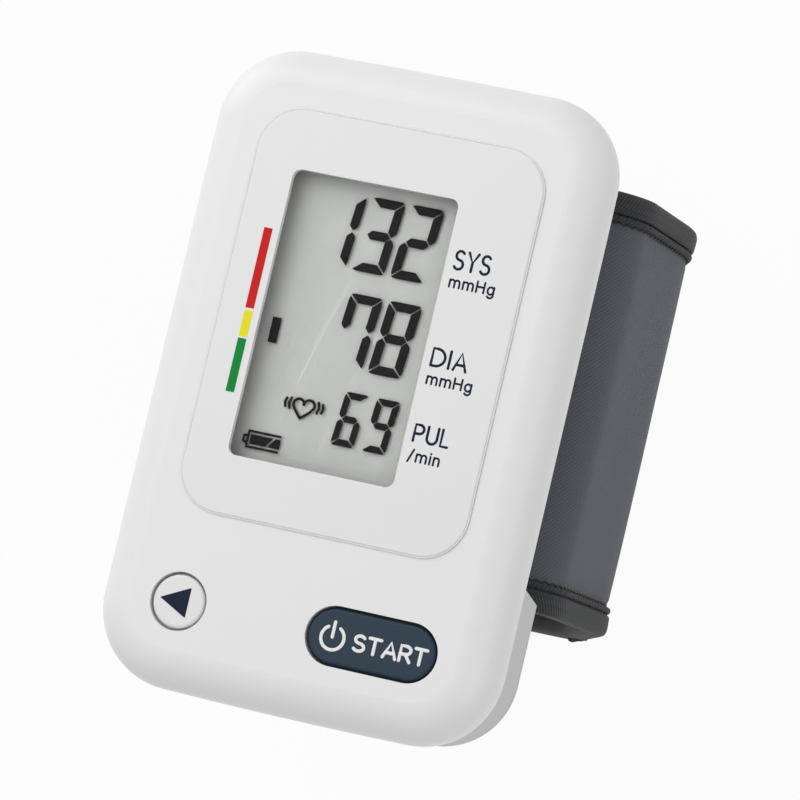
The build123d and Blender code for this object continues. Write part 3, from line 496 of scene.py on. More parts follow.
# hook and loop tape: colour is the painted shade between the knots, light the painted highlight on their
# tops
hookLook = {
    "colour": (0.03, 0.031, 0.034),
    "light": (0.11, 0.11, 0.12),
    "scale": 1100.0,
    "uneven": 0.6,
    "fall": 1.4,
    "roughness": 0.7,
    "sheen": 0.3,
    "depth": 0.00025,
}
loopTints = {"colour": (0.05, 0.052, 0.056), "light": (0.14, 0.14, 0.15)}
loopLook = {**hookLook, **loopTints, "scale": 700.0, "depth": 0.00015}
clothMaterial("cuffCloth", clothLook)
fleeceMaterial("liningFleece", fleeceLook)
tapeMaterial("hemTape", tapeLook)
tapeMaterial("rolledEdge", cordLook)
cellMaterial("cellSleeve", cellLook)
pileMaterial("hookTape", hookLook)
pileMaterial("loopTape", loopLook)
cadFinishes = {
    "caseWhite": ["front_case"],
    "caseGrey": ["rear_case", "battery_cover", "cuff_plate"],
    "panelWhite": ["display_panel"],
    "windowClear": ["display_window"],
    "lcdClear": ["lcd_glass"],
    "reflectorGrey": ["lcd_reflector"],
    "stripedRubber": ["lcd_connectors"],
    "holderWhite": ["lcd_holder", "pump_bracket", "pressure_sensor", "air_manifold", "air_nipple"],
    "buttonNavy": ["start_button"],
    "buttonWhite": ["memory_button"],
    "platedGold": ["switch_pads"],
    "boardGreen": ["circuit_board"],
    "chipBlack": ["main_chip", "pump_head"],
    "partBrown": ["board_parts"],
    "cellSleeve": ["battery_cells"],
    "platedSteel": ["battery_contacts", "pump_motor", "exhaust_valve", "plate_screws", "case_screws"],
    "brightSteel": ["battery_springs"],
    "tubeClear": ["air_tubes"],
    "sheetNatural": ["cuff_stiffener", "flap_stiffener"],
    "rubberGrey": ["air_bladder"],
}


def dressNode(name, finish):
    material = bpy.data.materials[finish]
    slots = nodes[name].material_slots
    if not slots:
        nodes[name].data.materials.append(material)
    for slot in slots:
        slot.material = material


for finish, nodeNames in cadFinishes.items():
    for nodeName in nodeNames:
        dressNode(nodeName, finish)
print("materials made")

# Cuff loop, seen from its lower end: the outline of the band's outer cloth and of the closing flap
cuff = {
    "lean": radians(3.0),
    "topHalf": 28.0 * mm,
    "topRound": 6.5 * mm,
    "cheekDepth": 46.0 * mm,
    "cheekLean": radians(20.0),
    "cheekRound": 20.0 * mm,
    "flatHalf": 9.0 * mm,
    "wall": 3.65 * mm,
    "flapWall": 2.40 * mm,
    "flapStep": 3.95 * mm,
    "flapTurn": radians(32.0),
    "turnEase": 0.98,
    "innerEnd": 36.0 * mm,
    "hemProud": 0.7 * mm,
    "thinWall": 2.2 * mm,
    "thinWidth": 6.0 * mm,
    "joinHalf": 8.0 * mm,
    "easeRise": 0.25 * mm,
    "easeLength": 5 * mm,
    "foldReach": 3.5 * mm,
    "step": 1.3 * mm,
    "arcTurn": radians(6.0),
}
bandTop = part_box("cuff_fabric")[1].z
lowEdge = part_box("cuff_binding_bottom")[0].y
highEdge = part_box("cuff_binding_top")[1].y
clothWidth = highEdge - lowEdge
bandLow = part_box("flap_binding_top")[0].z + cuff["hemProud"] + cuff["flapStep"]
flapLow = bandLow - cuff["flapStep"]
hingeJoint = next(joint for joint in frame["joints"] if joint["name"] == "flap_hinge")
hingeX, hingeY, hingeZ = hingeJoint["pos_m"]


def sideX(z, inward):
    return cuff["topHalf"] + (bandTop - z) * tan(cuff["lean"]) - inward / cos(cuff["lean"])


def cheekX(z, inward):
    fall = panelTop - cuff["cheekDepth"] - z
    lean = cuff["cheekLean"]
    return sideX(panelTop - cuff["cheekDepth"], 0) - fall * tan(lean) - inward / cos(lean)


def cheekCorner(inward):
    lean, turn = cuff["lean"], cuff["cheekLean"]
    shift = inward * (1 / cos(lean) - 1 / cos(turn)) / (tan(lean) + tan(turn))
    z = panelTop - cuff["cheekDepth"] - shift
    return sideX(z, inward), z


def lowRound(outset):
    return (cheekX(bandLow, outset) - cuff["flatHalf"]) * tan((pi / 2 + cuff["cheekLean"]) / 2)


flapRound = lowRound(cuff["flapStep"]) + cuff["flapStep"]


def bandOutline():
    # from the inner end on the left, under the wrist and up to the join under the case
    tuck = cuff["flapStep"]
    innerZ = panelTop - cuff["innerEnd"]
    tuckedX, tuckedZ = cheekCorner(tuck)
    cornerX, cornerZ = cheekCorner(0)
    corners = [
        (-sideX(innerZ, tuck), innerZ),
        (-tuckedX, tuckedZ),
        (-cheekX(bandLow, tuck), bandLow),
        (cheekX(bandLow, 0), bandLow),
        (cornerX, cornerZ),
        (sideX(bandTop, 0), bandTop),
        (-cuff["joinHalf"], bandTop),
    ]
    cheekRound = cuff["cheekRound"]
    return corners, [cheekRound - tuck, lowRound(tuck), lowRound(0), cheekRound, cuff["topRound"]]


def flapEnd(tuck, turn):
    # the flat under the wrist and the turn up to the flap's free end
    low = flapLow + tuck
    radius = lowRound(0) + cuff["flapStep"] - tuck
    reach = radius * tan(turn / 2)
    tip = cuff["flatHalf"] + reach
    ends = [(tip, low), (tip + reach * cos(turn), low + reach * sin(turn))]
    return ends, radius * cuff["turnEase"]


def flapOutline():
    # from the join under the case, down the left side and round to the flap's free end
    cornerX, cornerZ = cheekCorner(0)
    end, endRound = flapEnd(0, cuff["flapTurn"])
    corners = [
        (-cuff["joinHalf"], bandTop),
        (-sideX(bandTop, 0), bandTop),
        (-cornerX, cornerZ),
        (-cheekX(flapLow, 0), flapLow),
        *end,
    ]
    return corners, [cuff["topRound"], cuff["cheekRound"], flapRound, endRound]


def padOutline(startZ, tuck, turn):
    # the stretch from the left cheek to the flap's end, on the flap or on the band inside it
    low = flapLow + tuck
    end, endRound = flapEnd(tuck, turn)
    corners = [(-cheekX(startZ, tuck), startZ), (-cheekX(low, tuck), low), *end]
    return corners, [flapRound - tuck, endRound]


def roundOff(form, geom, offset, segments, affect="VERTICES"):
    bmesh.ops.bevel(
        form,
        geom=geom,
        offset=offset,
        offset_type="OFFSET",
        segments=segments,
        profile=0.5,
        affect=affect,
        material=-1,
    )


def wireLine(corners, rounds):
    # the outline as a chain of edges with rounded corners
    form = bmesh.new()
    form.verts.layers.int.new("place")
    form.verts.layers.float.new("across")
    form.loops.layers.uv.new("cloth")
    verts = [form.verts.new((x, 0, z)) for x, z in corners]
    for pair in zip(verts, verts[1:]):
        form.edges.new(pair)
    for index, radius in enumerate(rounds, 1):
        before = Vector(corners[index]) - Vector(corners[index - 1])
        after = Vector(corners[index + 1]) - Vector(corners[index])
        turn = before.angle(after)
        roundOff(form, [verts[index]], radius * tan(turn / 2), max(3, round(turn / cuff["arcTurn"])))
    bmesh.ops.remove_doubles(form, verts=form.verts, dist=0.01 * mm)
    return form


def walkLine(start):
    ordered = [start]
    last = None
    while True:
        following = [edge for edge in ordered[-1].link_edges if edge is not last]
        if not following:
            return ordered
        last = following[0]
        ordered.append(last.other_vert(ordered[-1]))


def makeLine(outline, step=cuff["step"]):
    # rounded outline cut into even steps, with the outward normal and the length at each vertex
    corners, rounds = outline
    form = wireLine(corners, rounds)
    for edge in list(form.edges):
        cuts = int(edge.calc_length() / step)
        if cuts:
            bmesh.ops.subdivide_edges(form, edges=[edge], cuts=cuts)
    first = Vector((corners[0][0], 0, corners[0][1]))
    ends = [vert for vert in form.verts if len(vert.link_edges) == 1]
    ordered = walkLine(min(ends, key=lambda vert: (vert.co - first).length))
    places = [vert.co.copy() for vert in ordered]
    normals = []
    for index in range(len(places)):
        ahead = places[min(index + 1, len(places) - 1)] - places[max(index - 1, 0)]
        normals.append(Vector((ahead.z, 0, -ahead.x)).normalized())
    lengths = [0.0]
    for before, after in zip(places, places[1:]):
        lengths.append(lengths[-1] + (after - before).length)
    return {"form": form, "order": ordered, "places": places, "normals": normals, "lengths": lengths}


def moveForm(form, vec):
    bmesh.ops.translate(form, verts=form.verts, vec=vec)


def scaleForm(form, vec):
    bmesh.ops.scale(form, verts=form.verts, vec=vec)


def faceOut(form):
    bmesh.ops.recalc_face_normals(form, faces=form.faces)


def vertsOf(made):
    return [item for item in made if isinstance(item, bmesh.types.BMVert)]


def closeEnds(form):
    bmesh.ops.holes_fill(form, edges=[edge for edge in form.edges if edge.is_boundary], sides=0)


def mapCloth(form, spot):
    layer = form.loops.layers.uv["cloth"]
    for face in form.faces:
        for loop in face.loops:
            loop[layer].uv = spot(loop.vert)


def sweepRows(line, rows, closed=False):
    # the outline extruded row by row: each row gives its y and its lift off the outline at each place
    form = line["form"]
    places, normals, lengths = line["places"], line["normals"], line["lengths"]
    placeLayer = form.verts.layers.int["place"]
    acrossLayer = form.verts.layers.float["across"]
    for index, vert in enumerate(line["order"]):
        vert[placeLayer] = index
    middle = len(places) // 2
    current = list(line["order"])
    edges = list(form.edges)
    across = 0.0
    previous = None
    for y, lift in rows:
        spot = (y(middle), lift(middle))
        if previous is not None:
            made = bmesh.ops.extrude_edge_only(form, edges=edges)["geom"]
            current = vertsOf(made)
            fresh = set(current)
            madeEdges = [item for item in made if isinstance(item, bmesh.types.BMEdge)]
            edges = [edge for edge in madeEdges if set(edge.verts) <= fresh]
            across += dist(spot, previous)
        for vert in current:
            index = vert[placeLayer]
            vert.co = places[index] + normals[index] * lift(index)
            vert.co.y = y(index)
            vert[acrossLayer] = across
        previous = spot
    mapCloth(form, lambda vert: (lengths[vert[placeLayer]], vert[acrossLayer]))
    faceOut(form)
    form.normal_update()
    first = next(face for face in form.faces if any(vert[placeLayer] == middle for vert in face.verts))
    if first.normal.dot(normals[middle]) < 0:
        bmesh.ops.reverse_faces(form, faces=form.faces)
    if closed:
        bmesh.ops.remove_doubles(form, verts=form.verts, dist=0.001 * mm)
        closeEnds(form)
    return form


def steady(value):
    return lambda index: value


def evenly(first, last, steps):
    return [first + (last - first) * step / steps for step in range(steps + 1)]


def cuffLine(onFlap, step=cuff["step"]):
    return makeLine(flapOutline() if onFlap else bandOutline(), step)


def wallDepth(line, onFlap):
    # how far inside the outline the inner face lies: the wall thins from band to flap at the hinge
    def depth(index):
        place = line["places"][index]
        if not onFlap:
            share = 0.0
        elif place.x > 0:
            share = 1.0
        else:
            share = min(max((hingeZ + cuff["easeRise"] - place.z) / cuff["easeLength"], 0.0), 1.0)
        share = share * share * (3 - 2 * share)
        return cuff["wall"] + (cuff["flapWall"] - cuff["wall"]) * share

    return depth


def innerLift(depth, across, spare=0.0):
    # the inner face's lift: the wall thins towards both edges, down to the stiffener and the two cloths
    ease = max(1 - across / cuff["thinWidth"], 0.0) ** 2
    return lambda index: -(depth(index) - spare - max(depth(index) - cuff["thinWall"], 0.0) * ease)


def addThickness(piece, thickness):
    solid = piece.modifiers.new("thickness", "SOLIDIFY")
    solid.thickness = thickness
    solid.offset = -1


def carry(piece, onFlap):
    if onFlap:
        start = (hingeX, hingeY, hingeZ + cuff["foldReach"])
        end = (hingeX, hingeY, hingeZ - cuff["foldReach"])
        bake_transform(piece, "monitor", "cuff_flap", start=start, end=end)
    else:
        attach(piece, "monitor")


def addFoldedSheet(name, form, look, onFlap, replaced):
    piece = finishPiece(name, form, look["finish"], look["slot"])
    addThickness(piece, look["thickness"])
    carry(piece, onFlap)
    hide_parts(replaced)


# Outer cloth: sits under both hems, dips at the seam and swells a little over the bladder
outerCloth = {
    "finish": "cuffCloth",
    "slot": "cuff_fabric",
    "width": clothWidth,
    "thickness": 0.5 * mm,
    "inset": 1.2 * mm,
    "seam": 4.3 * mm,
    "seamHalf": 0.4 * mm,
    "shoulder": 1.0 * mm,
    "dip": 0.3 * mm,
    "dipShares": (1.0, 1.0, 0.9, 0.4, 0.0),
    "swell": 0.12 * mm,
    "crease": 0.10 * mm,
    "creaseScale": 150,
    "creaseAlong": 60,
    "creaseStart": 3,
    "creaseEase": 6 * mm,
    "rows": 14,
}


def clothRows(settings):
    seam, half, rows = settings["seam"], settings["seamHalf"], settings["rows"]
    places = [settings["inset"], seam - half, seam, seam + half, seam + settings["shoulder"]]
    edgeRows = [(across, -settings["dip"] * share) for across, share in zip(places, settings["dipShares"])]
    low = [(lowEdge + across, lift) for across, lift in edgeRows]
    high = [(highEdge - across, lift) for across, lift in reversed(edgeRows)]
    first, last = low[-1][0], high[0][0]
    middle = []
    for row in range(1, rows):
        share = row / rows
        middle.append((first + (last - first) * share, settings["swell"] * sin(pi * share)))
    return [(steady(y), steady(lift)) for y, lift in low + middle + high]


def addOuterCloth(name, onFlap, replaced, settings):
    line = cuffLine(onFlap)
    form = sweepRows(line, clothRows(settings))
    scale, along = settings["creaseScale"], settings["creaseAlong"]
    for vert in form.verts:
        edge = min(vert.co.y - lowEdge, highEdge - vert.co.y) - settings["seam"]
        ease = min(max(edge / settings["creaseEase"], 0.0), 1.0)
        spot = (vert.co.x * scale, vert.co.y * along + settings["creaseStart"], vert.co.z * scale)
        wave = noise.noise(Vector(spot))
        vert.co += vert.normal * wave * ease * settings["crease"]
    addFoldedSheet(name, form, settings, onFlap, replaced)


addOuterCloth("bandCloth", False, "cuff_fabric", outerCloth)
addOuterCloth("flapCloth", True, "flap_fabric", outerCloth)
print("outer cloth made")

# Lining: brushed fleece on the inside
lining = {
    "finish": "liningFleece",
    "slot": "lining_fabric",
    "width": clothWidth,
    "thickness": 0.6 * mm,
    "inset": 1.5 * mm,
    "fuzz": 0.07 * mm,
    "fuzzScale": 900,
    "rows": 40,
}


def addLining(name, onFlap, replaced, settings):
    line = cuffLine(onFlap)
    depth = wallDepth(line, onFlap)
    rows = []
    for y in evenly(highEdge - settings["inset"], lowEdge + settings["inset"], settings["rows"]):
        rows.append((steady(y), innerLift(depth, min(y - lowEdge, highEdge - y), settings["thickness"])))
    form = sweepRows(line, rows)
    for vert in form.verts:
        vert.co += vert.normal * noise.noise(vert.co * settings["fuzzScale"]) * settings["fuzz"]
    addFoldedSheet(name, form, settings, onFlap, replaced)


addLining("bandLining", False, "cuff_lining", lining)
addLining("flapLining", True, "flap_lining", lining)
print("lining made")

# Hems: a tape folded over each edge, then a rolled edge and a line of dark thread along the seam
hem = {
    "finish": "hemTape",
    "slot": "binding_tape",
    "thickness": 0.45 * mm,
    "outerWidth": 3.0 * mm,
    "innerWidth": 2.3 * mm,
}
hem["width"] = hem["innerWidth"] + hem["outerWidth"] + cuff["wall"] + 2 * cuff["hemProud"]


def hemRows(line, onFlap, high):
    depth = wallDepth(line, onFlap)
    edge = highEdge if high else lowEdge
    side = -1 if high else 1
    proud = cuff["hemProud"]

    def fold(width):
        # distance from the cuff's edge, and lift, from the tape's own edge round to the fold
        return [
            (width + 0.12 * mm, 0.02 * mm),
            (width, proud * 0.62),
            (width - 0.3 * mm, proud * 0.9),
            (width * 0.55, proud),
            (0.9 * mm, proud),
            (0.35 * mm, proud * 0.72),
            (0.08 * mm, proud * 0.15),
            (0.0, -proud * 0.8),
        ]

    rows = [(steady(edge + side * across), steady(lift)) for across, lift in fold(hem["outerWidth"])]
    for across, lift in reversed(fold(hem["innerWidth"])):
        rows.append((steady(edge + side * across), innerLift(depth, across, -lift)))
    return rows


def addHem(name, onFlap, high, replaced, settings):
    line = cuffLine(onFlap)
    addFoldedSheet(name, sweepRows(line, hemRows(line, onFlap, high)), settings, onFlap, replaced)


cordBuild = {"sides": 8, "step": 0.3 * mm}
rolledCord = {
    "finish": "rolledEdge",
    "at": 3.68 * mm,
    "radius": 0.42 * mm,
    "lift": 0.14 * mm,
    "pitch": 1.1 * mm,
    "twist": 0.16,
    "sway": 0.0,
}
seamThread = {
    "finish": "threadBlack",
    "at": 4.32 * mm,
    "radius": 0.11 * mm,
    "lift": -0.18 * mm,
    "pitch": 1.4 * mm,
    "twist": 0.0,
    "sway": 0.12 * mm,
}


def addSeamCord(name, onFlap, high, settings):
    # a thin round cord along the seam, its twist or its zigzag in the shape itself
    line = cuffLine(onFlap, cordBuild["step"])
    edge = highEdge - settings["at"] if high else lowEdge + settings["at"]

    def turn(index):
        return tau * line["lengths"][index] / settings["pitch"]

    def cordRow(angle):
        def bulge(index):
            return settings["radius"] * (1 + settings["twist"] * cos(turn(index) + 2 * angle))

        def across(index):
            return edge + settings["sway"] * sin(turn(index)) + bulge(index) * sin(angle)

        def lift(index):
            return settings["lift"] + bulge(index) * cos(angle)

        return across, lift

    sides = cordBuild["sides"]
    rows = [cordRow(tau * (side % sides) / sides) for side in range(sides + 1)]
    form = sweepRows(line, rows, closed=True)
    carry(finishPiece(name, form, settings["finish"], hem["slot"]), onFlap)


for onFlap, part in ((False, "cuff"), (True, "flap")):
    for high, end in ((True, "top"), (False, "bottom")):
        place = ("flap" if onFlap else "band") + ("Upper" if high else "Lower")
        addHem(place + "Hem", onFlap, high, f"{part}_binding_{end}", hem)
        addSeamCord(place + "Cord", onFlap, high, rolledCord)
        addSeamCord(place + "Thread", onFlap, high, seamThread)
print("hems made")

# Tape folded over the band's inner end and the flap's free end
endTape = {
    "length": 1.0 * mm,
    "round": 0.4 * mm,
    "proud": 0.25 * mm,
    "hemLift": 0.4 * mm,
    "beyond": 0.3 * mm,
    "cuts": 28,
}


def addEndTape(name, onFlap, settings):
    line = cuffLine(onFlap)
    index = -1 if onFlap else 0
    place, outward = line["places"][index], line["normals"][index]
    line["form"].free()
    depth = cuff["flapWall"] if onFlap else cuff["wall"]
    width = clothWidth - 2 * settings["proud"]
    height = depth + 2 * settings["proud"]
    form = bmesh.new()
    bmesh.ops.create_cube(form, size=1)
    scaleForm(form, (settings["length"], width, height))
    roundOff(form, list(form.edges), settings["round"], 3, "EDGES")
    long = [edge for edge in form.edges if edge.calc_length() > width / 2]
    bmesh.ops.subdivide_edges(form, edges=long, cuts=settings["cuts"], use_grid_fill=True)
    for vert in form.verts:
        across = width / 2 - abs(vert.co.y)
        if vert.co.z > 0:
            vert.co.z += settings["hemLift"] if across < hem["outerWidth"] else 0
        else:
            vert.co.z += depth + innerLift(steady(depth), across)(0)
            vert.co.z -= settings["hemLift"] if across < hem["innerWidth"] else 0
    form.loops.layers.uv.new("cloth")
    mapCloth(form, lambda vert: (vert.co.y, vert.co.z + vert.co.x))
    turn = Vector((0, 0, 1)).rotation_difference(outward).to_matrix()
    bmesh.ops.rotate(form, verts=form.verts, cent=(0, 0, 0), matrix=turn)
    beyond = Vector((-outward.z, 0, outward.x)) * (1 if onFlap else -1)
    middle = place - outward * depth / 2 + beyond * settings["beyond"]
    middle.y = (lowEdge + highEdge) / 2
    moveForm(form, middle)
    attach(finishPiece(name, form, "hemTape", hem["slot"]), "cuff_flap" if onFlap else "monitor")


addEndTape("bandEndTape", False, endTape)
addEndTape("flapEndTape", True, endTape)

# Hook pad inside the flap's free end, and the loop pad on the band that it holds to
padBuild = {"rows": 30, "inset": 0.2 * mm}
pads = {
    "hookPad": {
        "finish": "hookTape",
        "slot": "hook_tape",
        "replaced": "hook_pad",
        "body": "cuff_flap",
        "tuck": 0.0,
        "turn": cuff["flapTurn"] - radians(3),
        "lift": -(cuff["flapWall"] + 0.85 * mm) + 0.7 * mm,
        "thickness": 0.7 * mm,
    },
    "loopPad": {
        "finish": "loopTape",
        "slot": "loop_tape",
        "replaced": "loop_pad",
        "body": "monitor",
        "tuck": cuff["flapStep"],
        "turn": cuff["flapTurn"],
        "lift": 0.35 * mm,
        "thickness": 0.3 * mm,
    },
}


def addPad(name, settings):
    low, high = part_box(settings["replaced"])
    line = makeLine(padOutline(high.z, settings["tuck"], settings["turn"]))
    first, last = low.y + padBuild["inset"], high.y - padBuild["inset"]
    rows = [(steady(y), steady(settings["lift"])) for y in evenly(first, last, padBuild["rows"])]
    piece = finishPiece(name, sweepRows(line, rows), settings["finish"], settings["slot"])
    addThickness(piece, settings["thickness"])
    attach(piece, settings["body"])
    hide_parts(settings["replaced"])


for padName, padSettings in pads.items():
    addPad(padName, padSettings)
print("pads made")

# Rubber domes, copied from their nodes and merged
domes = {"startDome": ("start_dome", "start_press"), "memoryDome": ("memory_dome", "memory_press")}


def addDome(name, nodeName, joint):
    node = nodes[nodeName]
    form = bmesh.new()
    form.from_mesh(node.data)
    bmesh.ops.transform(form, matrix=node.matrix_world, verts=form.verts)
    bmesh.ops.remove_doubles(form, verts=form.verts, dist=0.001 * mm)
    piece = finishPiece(name, form, "softWhite", "dome_rubber", smooth=False)
    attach(piece, "monitor")
    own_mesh(piece)
    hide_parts(nodeName)


for domeName, source in domes.items():
    addDome(domeName, *source)

# Printed and displayed marks. Their places are given in millimetres from the panel's middle, and the
# display lies below the panel, so its marks are set where the camera's view through the window finds them
marks = {
    "rise": 0.03 * mm,
    "aboveReflector": 0.35 * mm,
    "aboveButton": 0.005 * mm,
    "digitShift": (-1.2, 0.28),
    "signShift": (-0.98, 0.05),
}
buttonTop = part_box("start_button")[1].z
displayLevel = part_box("lcd_reflector")[1].z + marks["aboveReflector"]


def placeForm(form, z, shift=(0, 0)):
    # flat faces given in millimetres, extruded upwards and set at their height over the panel's middle
    moveForm(form, (*shift, 0))
    scaleForm(form, (mm, mm, mm))
    faceOut(form)
    form.normal_update()
    bmesh.ops.reverse_faces(form, faces=[face for face in form.faces if face.normal.z < 0])
    made = bmesh.ops.extrude_face_region(form, geom=list(form.faces), use_keep_orig=True)["geom"]
    bmesh.ops.translate(form, verts=vertsOf(made), vec=(0, 0, marks["rise"]))
    faceOut(form)
    moveForm(form, (0, panelY, z))


def addFace(form, points, rounded=(), radius=0.0):
    verts = [form.verts.new((x, y, 0)) for x, y in points]
    form.faces.new(verts)
    if rounded:
        roundOff(form, [verts[index] for index in rounded], radius, 3)


def addPlate(name, faces, z, finish, body="monitor", shift=(0, 0)):
    # each face is its points, the numbers of its rounded corners and their radius
    form = bmesh.new()
    for face in faces:
        addFace(form, *face)
    placeForm(form, z, shift)
    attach(finishPiece(name, form, finish, smooth=False), body)


# Display digits: seven segments with mitred ends, leaning to the right
largeBars = {"bar": 1.24, "gap": 0.11}
digitRows = [
    {"text": "132", "left": (-8.27, -2.83, 2.67), "low": 7.72, "size": (4.7, 10.15), **largeBars},
    {"text": "78", "left": (-2.83, 2.67), "low": -5.32, "size": (4.7, 10.05), **largeBars},
    {"text": "69", "left": (-0.20, 4.25), "low": -15.58, "size": (3.3, 7.30), "bar": 0.92, "gap": 0.09},
]
digitLook = {"lean": tan(radians(4.5)), "nudge": 0.05, "roundShare": 0.22}
litSegments = {"1": "bc", "2": "abged", "3": "abgcd", "6": "afgedc", "7": "fabc", "9": "abfgcd"}
litSegments["8"] = "abcdefg"


def segmentOutline(name, width, height, bar, gap):
    # the outline of one segment from the cell's lower left corner, and which corners are rounded
    half, shoulder = height / 2, height - bar * 0.14
    innerX, innerY = width - bar, height - bar
    top = [
        (bar * 0.12, shoulder),
        (bar * 0.45, height),
        (width - bar * 0.45, height),
        (width - bar * 0.12, shoulder),
        (innerX - gap, innerY),
        (bar + gap, innerY),
    ]
    side = [
        (bar * 0.10, shoulder - gap * 1.8),
        (bar, innerY - gap * 1.6),
        (bar, half + bar * 0.5 + gap),
        (bar * 0.5, half + gap),
        (0, half + bar * 0.45 + gap),
        (0, height - bar * 0.5 - gap * 1.8),
    ]
    middle = [
        (bar * 0.5 + gap, half),
        (bar + gap * 0.6, half + bar / 2),
        (innerX - gap * 0.6, half + bar / 2),
        (width - bar * 0.5 - gap, half),
        (innerX - gap * 0.6, half - bar / 2),
        (bar + gap * 0.6, half - bar / 2),
    ]
    if name == "g":
        return middle, ()
    points, rounded = (top, (1, 2)) if name in "ad" else (side, (4, 5))
    if name in "bc":
        points = [(width - x, y) for x, y in points]
    if name in "cde":
        points = [(x, height - y) for x, y in points]
    return points, rounded


def digitFaces():
    faces = []
    for row in digitRows:
        width, height = row["size"]
        for digit, left in zip(row["text"], row["left"]):
            for name in litSegments[digit]:
                points, rounded = segmentOutline(name, width, height, row["bar"], row["gap"])
                leaning = []
                for x, y in points:
                    across = left + x + (y - height / 2) * digitLook["lean"] + digitLook["nudge"]
                    leaning.append((across, row["low"] + y))
                faces.append((leaning, rounded, row["bar"] * digitLook["roundShare"]))
    return faces


addPlate("displayDigits", digitFaces(), displayLevel, "inkBlack", shift=marks["digitShift"])


def rectangle(left, high, right, low):
    return [(left, high), (right, high), (right, low), (left, low)]


# Display signs: the range marker, then the battery's frame and its two charge bars
displaySigns = [
    rectangle(-12.45, -0.25, -11.2, -3.7),
    rectangle(-12.15, -15.66, -7.40, -15.97),
    rectangle(-12.15, -17.78, -7.40, -18.09),
    rectangle(-12.15, -15.97, -11.86, -17.78),
    [(-11.65, -16.22), (-8.45, -16.22), (-9.4, -17.53), (-11.65, -17.53)],
    [(-8.12, -16.22), (-7.40, -16.22), (-7.40, -17.53), (-9.08, -17.53)],
]
signFaces = [(points,) for points in displaySigns]
addPlate("displaySigns", signFaces, displayLevel, "inkBlack", shift=marks["signShift"])


# Lettering drawn as strokes with round ends
def arc(centreX, centreY, radiusX, radiusY, start, end, count=12):
    angles = [radians(start + (end - start) * step / count) for step in range(count + 1)]
    return [(centreX + radiusX * cos(angle), centreY + radiusY * sin(angle)) for angle in angles]


# each sign: its width and its strokes, for a capital one unit high
bowl = [(0, 0), (0, 1), *arc(0.27, 0.73, 0.27, 0.27, 90, -90, 10), (0, 0.46)]
smallStem = [(0, 0), (0, 0.70)]
arches = [[*arc(middle, 0.46, 0.22, 0.24, 180, 0), (middle + 0.22, 0)] for middle in (0.22, 0.66)]
tail = [(0.54, 0.70), *arc(0.28, -0.08, 0.26, 0.26, 0, -150)]
signs = {
    "S": (0.58, [arc(0.30, 0.755, 0.26, 0.245, 35, 262) + arc(0.28, 0.255, 0.29, 0.255, 82, -148)]),
    "Y": (0.64, [[(0, 1), (0.32, 0.47), (0.64, 1)], [(0.32, 0.47), (0.32, 0)]]),
    "H": (0.66, [[(0, 0), (0, 1)], [(0.66, 0), (0.66, 1)], [(0, 0.52), (0.66, 0.52)]]),
    "D": (0.70, [[(0, 0), (0, 1), *arc(0.22, 0.5, 0.48, 0.5, 90, -90, 16), (0, 0)]]),
    "I": (0.0, [[(0, 0), (0, 1)]]),
    "A": (0.68, [[(0, 0), (0.34, 1), (0.68, 0)], [(0.11, 0.32), (0.57, 0.32)]]),
    "P": (0.54, [bowl]),
    "U": (0.62, [[(0, 1), *arc(0.31, 0.33, 0.31, 0.33, 180, 360, 14), (0.62, 1)]]),
    "L": (0.42, [[(0, 1), (0, 0), (0.42, 0)]]),
    "T": (0.62, [[(0, 1), (0.62, 1)], [(0.31, 1), (0.31, 0)]]),
    "R": (0.56, [bowl, [(0.28, 0.46), (0.56, 0)]]),
    "m": (0.88, [smallStem, *arches]),
    "n": (0.46, [smallStem, [*arc(0.23, 0.46, 0.23, 0.24, 180, 0), (0.46, 0)]]),
    "i": (0.0, [smallStem, [(0, 0.95), (0, 0.97)]]),
    "g": (0.54, [arc(0.27, 0.35, 0.27, 0.35, 0, 360, 20), tail]),
    "/": (0.38, [[(0, -0.10), (0.38, 1.05)]]),
}
capSteps = ((1.0, 0.05), (0.87, 0.5), (0.5, 0.87))


def roundEnds(points, radius):
    # the stroke's points with a falling radius over both ends, so that it ends in half circles
    def cap(end, inner):
        away = (Vector(end) - Vector(inner)).normalized()
        return [(*(Vector(end) + away * radius * reach), share) for reach, share in capSteps]

    body = [(x, y, 1.0) for x, y in points]
    return cap(points[0], points[1]) + body + list(reversed(cap(points[-1], points[-2])))


def strokeForm(name, strokes, radius, closed=False):
    # a round curve made a mesh
    curve = bpy.data.curves.new(name, "CURVE")
    curve.dimensions = "3D"
    curve.bevel_depth = radius
    curve.bevel_resolution = 2
    for points in strokes:
        shaped = [(x, y, 1.0) for x, y in points] if closed else roundEnds(points, radius)
        spline = curve.splines.new("POLY")
        spline.use_cyclic_u = closed
        spline.points.add(len(shaped) - 1)
        for point, (x, y, share) in zip(spline.points, shaped):
            point.co = (x, y, 0, 1)
            point.radius = share
    holder = bpy.data.objects.new(name + "Line", curve)
    scene.collection.objects.link(holder)
    mesh = bpy.data.meshes.new_from_object(holder.evaluated_get(bpy.context.evaluated_depsgraph_get()))
    bpy.data.objects.remove(holder)
    form = bmesh.new()
    form.from_mesh(mesh)
    bpy.data.meshes.remove(mesh)
    return form


def addStrokes(name, strokes, radius, z, finish, body="monitor", shift=(0, 0)):
    # strokes given in millimetres, flattened and set just over their surface
    form = strokeForm(name, strokes, radius)
    moveForm(form, (*shift, 0))
    scaleForm(form, (mm, mm, marks["rise"] / radius))
    closeEnds(form)
    moveForm(form, (0, panelY, z))
    faceOut(form)
    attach(finishPiece(name, form, finish), body)


